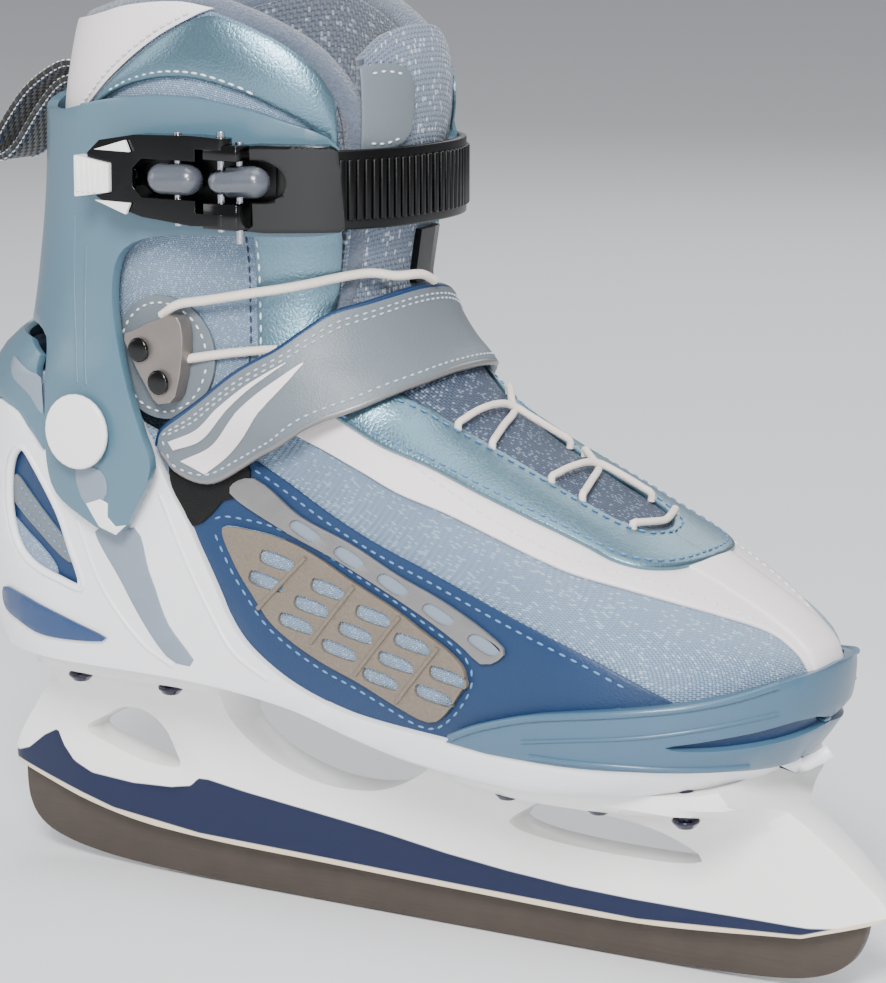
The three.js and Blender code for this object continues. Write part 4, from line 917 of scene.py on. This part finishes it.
laceRun = {"radius": 1.05, "lift": 3.9}
laceLegs = [
    ("lace_cross_1", 1.0, [(20.6, -18, 145.4), (22, -8, 146.6), (24.6, 3, 146.2), (31, 7, 143),
                           (38, 12.6, 138.6)]),
    ("lace_cross_1", 0.2, [(30, -16, 140.4), (28, -7, 143.4), (25.2, 4, 146), (21, 9, 148), (15, 16.6, 150)]),
    ("lace_cross_2", 1.0, [(47.4, -14, 133), (49, -5, 133.4), (51, 4, 132.6), (57, 8, 129.4),
                           (63.6, 11.6, 126)]),
    ("lace_cross_2", 0.2, [(56.4, -13.4, 128.6), (54, -4, 130.8), (51, 5, 132.4), (47, 9, 134.4),
                           (42, 14, 136.6)]),
    ("lace_cross_2", 0.0, [(70.6, -11.6, 121.8), (73, -5, 121.8), (74, 0, 121.6), (73, 5, 121.8),
                           (70.6, 11.6, 121.8)]),
]
for i, (node, rise, spots) in enumerate(laceLegs):
    line = snap(forms["foot"], smoothLine(spots, 15), laceRun["lift"])
    line[:, 2] += rise * np.sin(np.linspace(0, math.pi, 15)) * 2
    line = np.vstack([line[:1] - (0, 0, 2.2), line, line[-1:] - (0, 0, 2.2)])
    tube(f"laceCross.{i + 1}", line, laceRun["radius"], laceCord, count=40, replaces=(node,))

print("stage: heel, shell trim and counter")
patch("heelNavy", [(-108, 133), (-98, 118), (-92, 104), (-88, 90), (-101, 92), (-111, 103), (-121, 113),
                   (-117, 128)],
      leatherNavy, out=1.4, thick=1.0, both=True, cell=5, slot="boot_upper")
patch("heelStrip", [(-114, 122), (-116, 115), (-112, 111), (-106, 106.5), (-96, 99), (-92, 100), (-97, 106),
                    (-103, 112), (-109, 118)], leatherGrey, out=2.0, thick=0.7, both=True, cell=5,
      slot="boot_upper")
patch("heelMesh", [(-119, 110), (-118, 99), (-109, 93), (-101, 91.5), (-100, 97), (-108, 104)], meshSilver,
      out=1.9, thick=0.6, both=True, cell=5, slot="boot_upper")
stitches("paleStitches", [(-113, 119), (-108, 114.4), (-102, 109), (-96, 104)], out=2.1, pitch=2.2, size=0.6,
         both=True)
stitches("paleStitches", [(-114.4, 114.4), (-109, 110.2), (-103, 105.8), (-96, 101)], out=2.1, pitch=2.2,
         size=0.6, both=True)
tubePair("heelLip", heelWindow, 2.6, 1.25, shellPlastic, closed=True, slot="outsole_shell")
patch("shellStripe", [(-84, 109), (-77, 110.5), (-70, 111), (-66, 99), (-60, 86), (-51, 75.2), (-59, 74.6),
                      (-67, 83), (-75, 95)], stripeGrey, out=3.6, thick=0.4, both=True, cell=4, bevel=0.15,
      slot="outsole_shell")
for i, run in enumerate([[(-91, 112), (-86, 98), (-80, 88), (-70, 78), (-60, 73)],
                         [(-62, 122), (-55, 106), (-47, 92), (-38, 80), (-26, 74)]]):
    tubePair("shellRidge", run, 2.9, 0.9, shellPlastic, number=f".{i + 1}", count=30, slot="outsole_shell")
patch("heelBadge", [(-119, 88), (-112, 87.5), (-104, 85.4), (-92, 82), (-80, 78), (-92, 76.4), (-104, 76.6),
                    (-112, 79), (-119, 82)], badgeBlue, out=4.3, thick=0.8, cell=4, bevel=0.3,
      replaces=("heel_badge",))
patch("counterStripe", [(-112, 156), (-104.5, 153), (-99.6, 151), (-100, 141), (-105, 146.5), (-112, 150.5)],
      stripeGrey, out=2.8, thick=0.3, both=True, cell=4, bevel=0.1, slot="heel_counter")
strip("capSlot", [(88, 74.5), (100, 76), (112, 78), (121, 80)], [(88, 69), (100, 68.6), (112, 69), (119, 70)],
      leatherNavy, out=2.4, thick=0.4, both=True, bevel=0.1, slot="toe_cap")
capBeads = [
    (1.1, [(37, 68), (46, 72), (60, 76.4), (72, 78.8), (85, 80.6), (102, 82.8), (112, 84.8), (120, 87.4)]),
    (0.8, [(62, 66.6), (84, 66.6), (102, 65.6), (112, 65)]),
    (0.6, [(60, 70.4), (76, 73), (94, 75.2), (108, 77.6), (120, 80)]),
]
for i, (radius, run) in enumerate(capBeads):
    tubePair("capBead", run, 3.8, radius, capPlastic, number=f".{i + 1}", count=40, slot="toe_cap")

print("stage: cuff")
cuffEdge = smoothLine([(-108, 165.6), (-103, 165), (-98.4, 161), (-97.4, 145), (-97.4, 130), (-94.5, 120.5),
                       (-85, 114.5), (-73, 110), (-67, 117), (-60, 130), (-62.5, 140), (-66, 150), (-71, 166),
                       (-73, 178), (-71.5, 187), (-66, 192), (-56, 194.4), (-40, 195.2), (-14, 196),
                       (-9.4, 202), (-9, 212), (-13, 221.5), (-22, 226), (-34, 230), (-48, 232.2), (-62, 232),
                       (-76, 230.2), (-92, 226.6), (-106, 226)], 110)
patch("cuffShell", [*cuffEdge, (-160, 230), (-160, 166.5)], cuffPlastic, form="cuff", out=3.0, thick=2.9,
      body="cuff", both=True, rounded=False, cell=3.5, bevel=0.9, replaces=("cuff",))
for i, run in enumerate([[(-89, 198), (-89, 180), (-87, 165), (-85, 152)],
                         [(-84, 190), (-84, 176), (-83, 163), (-81.6, 152)]]):
    tubePair("cuffRidge", run, 2.8, 0.55, cuffPlastic, "cuff", number=f".{i + 1}", count=30, body="cuff",
             slot="cuff")
patch("cuffChannel", [(-85, 128), (-76, 128), (-75, 121), (-82.5, 118)], stripeGrey, form="cuff", out=3.2,
      thick=0.4, body="cuff", both=True, cell=3, bevel=0.15, slot="cuff")
patch("cuffNotch", [(-82, 118.2), (-77, 120), (-74.6, 119), (-75, 115), (-72.6, 112.6), (-69, 113.4),
                    (-72.6, 110.2), (-78, 112)], whitePlastic, form="cuff", out=3.4, thick=0.8, body="cuff",
      both=True, cell=3, bevel=0.25, rounded=False, slot="cuff")

print("stage: quarters and collar")
collarLine = [(-125, 245), (-108, 247.5), (-88, 251), (-69, 255), (-52, 257), (-38.5, 254), (-25, 248),
              (-16, 241), (-10.5, 231)]
quarterLow = [(-125, 160), (-100, 155), (-83, 151), (-62, 144.6), (-45, 145.6), (-30, 152.5), (-24, 156),
              (-19, 160)]
quarters = strip("quarters", quarterLow, collarLine, meshSilver, form="shaft", out=0.2, thick=6.6,
                 body="cuff", both=True, along=90, across=40, bevel=2.4, replaces=("ankle_quarters",))
strip("collarLining", [(x, z + 4) for x, z in quarterLow], [(x, z - 0.5) for x, z in collarLine], terryRim,
      form="shaft", out=-6.2, thick=1.0, body="cuff", both=True, along=80, across=30, bevel=0.3,
      slot="ankle_quarters")
rimLine = [(-112, 246.4), (-100, 248.4), (-88, 251), (-69, 255), (-52, 257), (-38.5, 254), (-25, 248),
           (-16, 241), (-10.5, 231), (-10, 218), (-12, 200), (-14.4, 184), (-18, 165)]
tubePair("collarRim", rimLine, -3.4, 3.6, terryRoll, "shaft", count=90, facets=4, body="cuff",
         slot="ankle_quarters")
strip("silverPanel", [(-35, 150), (-32, 162), (-32.5, 175), (-32.5, 188), (-33, 202)],
      [(-20, 157), (-16.6, 166), (-14.6, 178), (-13.2, 190), (-12.4, 202)], leatherSilver, form="shaft",
      out=1.3, thick=1.2, body="cuff", both=True, along=50, across=14, puff=0.5, bevel=0.4,
      slot="ankle_quarters")
stitches("collarStitches", [(-30.6, 152), (-30.2, 164), (-30.8, 176), (-30.8, 188), (-31, 198)], form="shaft",
         out=1.5, pitch=3.2, both=True)
stitches("collarStitchesDark", [(-33.9, 152), (-33.5, 164), (-34, 176), (-34, 188), (-34.4, 198)],
         form="shaft", out=0.6, pitch=2.6, both=True)
strip("whiteCollar", [(-125, 246), (-108, 248), (-88, 252), (-69, 256), (-52, 257.5), (-41, 256)],
      [(-125, 222), (-110, 222), (-98, 223.5), (-88, 227), (-76, 236), (-66, 243), (-56, 249), (-45, 254.4)],
      leatherWhite, form="shaft", out=1.2, thick=1.0, body="cuff", both=True, along=70, across=20, puff=0.6,
      bevel=0.4, slot="ankle_quarters")
strip("silverCollar", [(-84, 227.6), (-76, 235), (-66, 242), (-56, 248), (-46, 253), (-38.5, 253.6),
                       (-25, 248), (-16, 241), (-11, 232)],
      [(-83, 227), (-74, 232), (-66, 235), (-55, 237.2), (-44, 237), (-34, 234.4), (-27, 231.5), (-19, 227),
       (-13.4, 221), (-11.6, 213)],
      leatherSilver, form="shaft", out=1.4, thick=1.2, body="cuff", both=True, along=70, across=20, puff=1.0,
      bevel=0.4, slot="ankle_quarters")
stitches("collarStitches", [(-47, 254.8), (-57, 250.2), (-67, 244.4), (-77, 237.6), (-87, 229.4), (-94, 226)],
         form="shaft", out=1.9, pitch=2.6, both=True)
stitches("collarStitches", [(-76, 232.6), (-66, 236.6), (-55, 238.8), (-44, 238.6), (-34, 236), (-28, 233.4)],
         form="shaft", out=1.9, pitch=2.8, both=True)

print("stage: tongue")
tongue = strip("upperTongue", [(-17, -21, 168), (-8, -15, 168), (-4, -7, 168), (-3, 0, 168), (-4, 7, 168),
                               (-8, 15, 168), (-17, 21, 168)],
               [(-9, -20, 243), (-4, -14, 249), (-1, -7, 251.5), (0, 0, 252), (-1, 7, 251.5), (-4, 14, 249),
                (-9, 20, 243)],
               meshTongue, form="shaft", out=-0.7, thick=6.0, along=50, across=50, bevel=2.2,
               replaces=("tongue_upper",))
strip("tongueLabel", [(-8, -22, 218), (-4, -16, 218), (-1.4, -11, 219.4), (-0.6, -8, 223)],
      [(-8, -23, 240), (-4, -17, 241), (-1, -11, 239.6), (-0.4, -8, 235)], leatherGrey, form="shaft", out=0.6,
      thick=1.0, along=30, across=20, puff=0.3, bevel=0.3, replaces=("tongue_label",))
stitches("tongueStitches", [(-6, -21, 238.4), (-3.6, -17, 238.9), (-1.4, -12, 238)], form="shaft", out=0.8,
         pitch=2.2, size=0.8)
stitches("tongueStitches", [(-6, -20.6, 220.2), (-3.6, -16.4, 220), (-1.6, -12, 221.2)], form="shaft",
         out=0.8, pitch=2.2, size=0.8)

print("stage: lock patch and laces")
ankle = {"x": -60, "z": 160.5, "radius": 16.5}


def ringAt(radius, count=24):
    return [(ankle["x"] + radius * math.cos(2 * math.pi * i / count),
             ankle["z"] + 1.03 * radius * math.sin(2 * math.pi * i / count))
            for i in range(count)]


patch("lockPatch", ringAt(ankle["radius"]), leatherGrey, form="shaft", out=1.5, thick=1.2, body="cuff",
      cell=4, bevel=0.4, replaces=("lock_patch",))
stitches("collarStitches", ringAt(14.6), form="shaft", out=1.6, pitch=2.7, size=0.85, closed=True)


def onFlank(x, z, out):
    # a point on the shaft's outer flank, lifted off it by out
    return x, -float(halfWidth(forms["shaft"], np.array(float(x)), np.array(z), out)), z


lockFace = onFlank(-60, 160.0, 1.6)[1] - 5
laceEnd = {
    "radius": 1.3,
    "upper": [(-44, 177.5, 4.6), (-31, 180, 5.2), (-20, 182, 5.6)],
    "lower": [(-53, 160.4, 3.2), (-48, 161.4, 2.4), (-39, 163, 1.6), (-31, 164, 1.4), (-26, 164.6, 1.2)],
    "tongue": [(-8.5, -19.5, 184.6), (-2.6, -12, 183.6), (0.4, -4, 183.4), (0.8, 2, 181)],
}
tube("laceUpper", [(-58, lockFace + 2.6, 172.5), (-52, lockFace + 2, 176),
                   *[onFlank(*at) for at in laceEnd["upper"]],
                   *laceEnd["tongue"]], laceEnd["radius"], laceCord, replaces=("lace_upper",))
tube("laceLower", [onFlank(*at) for at in laceEnd["lower"]], laceEnd["radius"], laceCord, body="cuff",
     slot="lace_upper")

print("stage: instep strap")
strapEdge = {
    "high": [(-60.5, -43, 136), (-58, -43, 141), (-46, -42, 149), (-34, -42, 158), (-24, -39, 164),
             (-18, -35, 169), (-12, -29, 174), (-6, -21, 176.4), (-1, -6, 179), (-1, 8, 178.5), (-4, 18, 176),
             (-8, 26, 172)],
    "low": [(-59.5, -43, 134.4), (-55, -42, 129.4), (-46, -41, 127.2), (-36, -41, 131.6), (-25, -40, 138.6),
            (-14, -39, 144.8), (-2, -36, 150.4), (6, -30, 155), (11.6, -21, 158.4), (14, -9, 160.2),
            (14.6, 3, 160.8), (12.6, 15, 159.4), (7.6, 26, 156.5)],
}
strapSheet = {"out": 4.9, "wall": 2.6}
strip("instepStrap", strapEdge["high"], strapEdge["low"], leatherGrey, form="strap", out=strapSheet["out"],
      thick=strapSheet["wall"], body="instep_strap", along=100, across=14, bevel=0.7,
      replaces=("instep_strap",))
rootEdge = {
    "high": [(-8.3, 26.5, 172), (-14, 31, 170), (-24, 39, 164), (-34, 42, 158), (-46, 42, 149),
             (-57, 42, 140), (-58, 42, 132)],
    "low": [(7.3, 26.5, 156.5), (1, 33, 151), (-7, 38, 145), (-20, 39, 138), (-30, 39, 132), (-40, 40, 126.6),
            (-50, 41, 122)],
}
strip("strapRoot", rootEdge["high"], rootEdge["low"], leatherGrey, form="strap", out=strapSheet["out"],
      thick=strapSheet["wall"], along=60, bevel=0.7, replaces=("strap_root",))
strapLines = [smoothLine(strapEdge[side], 60) for side in ("high", "low")]


def insideStrap(share):
    high, low = strapLines
    return high + (low - high) * share


for seam in (insideStrap(0.09)[2:], insideStrap(0.91)[2:], insideStrap(0.15)[3:],
             [insideStrap(share)[2] for share in (0.1, 0.3, 0.5, 0.7, 0.9)]):
    stitches("strapStitches", seam, form="strap", out=5.0, pitch=2.6, size=0.85)
for i, (upper, lower) in enumerate([
        ([(0.30, 3), (0.26, 8), (0.22, 13), (0.20, 18), (0.20, 23)],
         [(0.50, 3.4), (0.42, 8), (0.33, 13), (0.26, 18), (0.21, 23)]),
        ([(0.72, 4), (0.56, 9), (0.44, 14), (0.36, 19), (0.31, 25)],
         [(0.90, 7), (0.80, 11), (0.66, 16), (0.48, 21), (0.33, 25)])]):
    edges = []
    for edge in (upper, lower):
        at = np.array([place for _, place in edge])
        share = np.array([s for s, _ in edge])[:, None]
        pick = [np.stack([np.interp(at, np.arange(60), line[:, k]) for k in range(3)], 1)
                for line in strapLines]
        edges.append(pick[0] * (1 - share) + pick[1] * share)
    strip(f"strapFlash.{i + 1}", *edges, leatherWhite, form="strap", out=5.3, thick=0.5, body="instep_strap",
          along=60, across=8, bevel=0.15, slot="instep_strap")
tube("strapPipingHigh", snap(forms["strap"], smoothLine(strapEdge["high"], 70), 3.6), 1.25, leatherNavy,
     body="instep_strap", smooth=False, slot="instep_strap")
tube("strapPipingLow", snap(forms["strap"], smoothLine(strapEdge["low"], 70), 4.0), 1.05, trimPlastic,
     body="instep_strap", smooth=False, slot="instep_strap")
patch("strapAnchor", [(-60, 126), (-56, 118), (-53, 113.6), (-47, 118), (-44, 121.5), (-38, 124), (-38, 133),
                      (-58, 135)],
      hookLoop, out=1.9, thick=1.5, cell=3, bevel=0.3, replaces=("strap_anchor",))

print("stage: ladder strap and pull loop")
ladder = {"low": 197.6, "high": 218.8, "wall": 2.4, "clear": 3.6, "from": 2.16, "to": 4.82, "ribFrom": 2.49,
          "ribTo": 3.9,
          "ribs": 29, "ribSize": (1.9, 1.5, 16.4), "pull": 5.4}


def bandSpots(turn, out):
    z = np.full(len(turn), ladder["high"])
    w = turn / math.pi
    w = np.where(w > 1, w - 2, w)
    spots = unwrap(forms["cuff"], w, z, ladder["clear"] + out)
    spots[:, 0] -= ladder["pull"] * np.exp(-((turn - math.pi) / 0.62) ** 2)  # drawn tight over the tongue
    return spots


def makeLadder():
    bm = bmesh.new()
    bmesh.ops.create_grid(bm, x_segments=110, y_segments=6, size=0.5)
    turn = ladder["from"] + (ladder["to"] - ladder["from"]) * (np.array([v.co.x for v in bm.verts]) + 0.5)
    high = np.array([v.co.y for v in bm.verts]) + 0.5
    spots = bandSpots(turn, ladder["wall"])
    spots[:, 2] = ladder["low"] + (ladder["high"] - ladder["low"]) * high
    setCoords(bm, spots, np.stack([turn * 60, spots[:, 2]], 1))
    faceOut(bm, forms["cuff"], ladder["clear"])
    return finishPiece("ladderStrap", bm, blackSatin, "cuff", thick=ladder["wall"], bevel=0.5,
                       replaces=("ladder_strap",))


def makeRibs():
    bm = bmesh.new()
    turns = np.linspace(ladder["ribFrom"], ladder["ribTo"], ladder["ribs"])
    spots, ahead = bandSpots(turns, ladder["wall"] + 0.1), bandSpots(turns + 0.01, ladder["wall"] + 0.1)
    for spot, after in zip(spots, ahead):
        way = Vector(after - spot).normalized()
        turned = Matrix((way, way.cross(Vector((0, 0, 1))), (0, 0, 1))).transposed().to_4x4()
        place = Matrix.Translation((spot[0], spot[1], (ladder["low"] + ladder["high"]) / 2))
        bmesh.ops.create_cube(bm, size=1, matrix=place @ turned @ Matrix.Diagonal((*ladder["ribSize"], 1)))
    return finishPiece("ladderRibs", bm, blackSatin, "cuff", bevel=0.5, slot="ladder_strap")


makeLadder()
makeRibs()

buckle = {"body": [(-36.6, 217.8), (-35.6, 219.8), (-28, 220.6), (-13.4, 220.4), (-12.4, 219.4),
                   (-12.4, 198.4), (-13.4, 197.4), (-28, 197.2), (-35.6, 198), (-36.6, 200)],
          "out": 9.7, "wall": 3.5, "mid": 211.0, "slotHalf": 5.6, "slotEnd": -22.6, "backing": 5.2,
          "ears": [(-36.6, -25.4, -54.4, -47.6, 216.6, 220.9), (-36.6, -25.4, -54.4, -47.6, 198.4, 205.4)],
          "tab": (-78.2, -67.2, -55.9, 206.2, 214.8)}
arc = [(buckle["slotEnd"] - buckle["slotHalf"] * (1 - math.cos(t)),
        buckle["mid"] + buckle["slotHalf"] * math.sin(t))
       for t in np.linspace(-math.pi / 2, math.pi / 2, 13)]
slotMouth = buckle["body"][0][0]
patch("buckleBody", [*buckle["body"][::-1], (slotMouth, buckle["mid"] + buckle["slotHalf"]), *arc[::-1],
                     (slotMouth, buckle["mid"] - buckle["slotHalf"])], blackGloss, form="cuff",
      out=buckle["out"], thick=buckle["wall"], body="cuff", rounded=False, cell=1.6, bevel=0.8,
      replaces=("buckle_base",))
patch("buckleBacking", [(-74, 203.6), (-70, 219), (-16, 218.4), (-12, 211), (-16, 203.6), (-70, 202.6)],
      blackSatin, form="cuff", out=buckle["backing"], thick=2.0, body="cuff", cell=3, bevel=0.4,
      slot="buckle_base")


def makeBlocks(name, boxes, look, body, slot, bevel):
    bm = bmesh.new()
    for x0, x1, y0, y1, z0, z1 in boxes:
        place = Matrix.Translation(((x0 + x1) / 2, (y0 + y1) / 2, (z0 + z1) / 2))
        bmesh.ops.create_cube(bm, size=1, matrix=place @ Matrix.Diagonal((x1 - x0, y1 - y0, z1 - z0, 1)))
    return finishPiece(name, bm, look, body, bevel=bevel, slot=slot)


makeBlocks("buckleEars", buckle["ears"], blackGloss, "cuff", "buckle_base", 0.5)
left, right, face, low, high = buckle["tab"]
tabRibs = []
for i in range(5):
    x = left + 1.6 + (right - left - 3.6) * i / 4
    tabRibs.append((x - 0.5, x + 0.5, face - 0.5, face + 1.2, low, high))
makeBlocks("tabRibs", tabRibs, whitePlastic, "lever", "lever_tab", 0.3)

pullLoop = {"path": [(-111, 236.5), (-119, 236), (-131, 228.5), (-141, 216.5), (-144, 210), (-140.5, 208.5),
                     (-135, 212.5), (-127, 223), (-119, 231), (-111, 233)], "half": 9.0, "wall": 1.6}
beadRows = {"pullBeads": 0.6, "pullBeadsBlue": 2.6}  # how far each row lies in from the edge


def makePullLoop():
    steps = 60
    line = smoothLine(pullLoop["path"], steps + 1)
    bm = bmesh.new()
    bmesh.ops.create_grid(bm, x_segments=steps, y_segments=6, size=0.5)
    at = (np.array([v.co.x for v in bm.verts]) + 0.5) * steps
    across = np.array([v.co.y for v in bm.verts]) * 2 * pullLoop["half"]
    x, z = [np.interp(at, np.arange(steps + 1), line[:, k]) for k in (0, 1)]
    setCoords(bm, np.stack([x, across, z], 1), np.stack([at * 1.2, across], 1))
    finishPiece("pullLoop", bm, webbingBlack, "cuff", thick=pullLoop["wall"], bevel=0.3, offset=0.0,
                replaces=("heel_pull",))
    for side in (-1, 1):
        for sewn, inset in beadRows.items():
            for i in range(46):
                x, z = [np.interp(3 + i * 1.2, np.arange(steps + 1), line[:, k]) for k in (0, 1)]
                spot = np.array([x, side * (pullLoop["half"] - inset), z])
                stitchSets.setdefault(sewn, []).append((spot, np.array([0, 1.0, 0]), 0.6, 1.15))


makePullLoop()

print("stage: stitching")
sewing = [
    ("navyStitches", threadPale, "boot", "side_vent_outer"),
    ("whiteStitches", threadWhite, "boot", "boot_upper"),
    ("paleStitches", threadPale, "boot", "eyestay"),
    ("tongueStitches", threadWhite, "boot", "tongue_label"),
    ("collarStitches", threadWhite, "cuff", "ankle_quarters"),
    ("collarStitchesDark", threadNavy, "cuff", "ankle_quarters"),
    ("strapStitches", threadGrey, "instep_strap", "instep_strap"),
    ("pullBeads", threadWhite, "cuff", "heel_pull"),
    ("pullBeadsBlue", badgeBlue, "cuff", "heel_pull"),
]
for row in sewing:
    sewStitches(*row)

print("stage: floor and surroundings")
bm = bmesh.new()
bmesh.ops.create_grid(bm, x_segments=8, y_segments=8, size=studio["floorSize"] / 2)
floorMesh = bpy.data.meshes.new("studioFloor")
bm.to_mesh(floorMesh)
bm.free()
floorMesh.transform(Matrix.Translation((0, 0, -0.0004)))
floor = bpy.data.objects.new("studioFloor", floorMesh)
bpy.context.scene.collection.objects.link(floor)
floorPaper = finish("floorPaper", tone(232, 233, 235), 0.8, mottle=(400, 0.01))
floorPaper.node_tree.nodes["Principled BSDF"].inputs["Emission Color"].default_value = (1, 1, 1, 1)
floorPaper.node_tree.nodes["Principled BSDF"].inputs["Emission Strength"].default_value = 0.02
floorMesh.materials.append(floorPaper)
world = bpy.data.worlds.new("studioWorld")
world.use_nodes = True
world.node_tree.nodes["Background"].inputs["Color"].default_value = (0.93, 0.95, 1.0, 1)
world.node_tree.nodes["Background"].inputs["Strength"].default_value = 0.42
bpy.context.scene.world = world

bpy.context.view_layer.update()
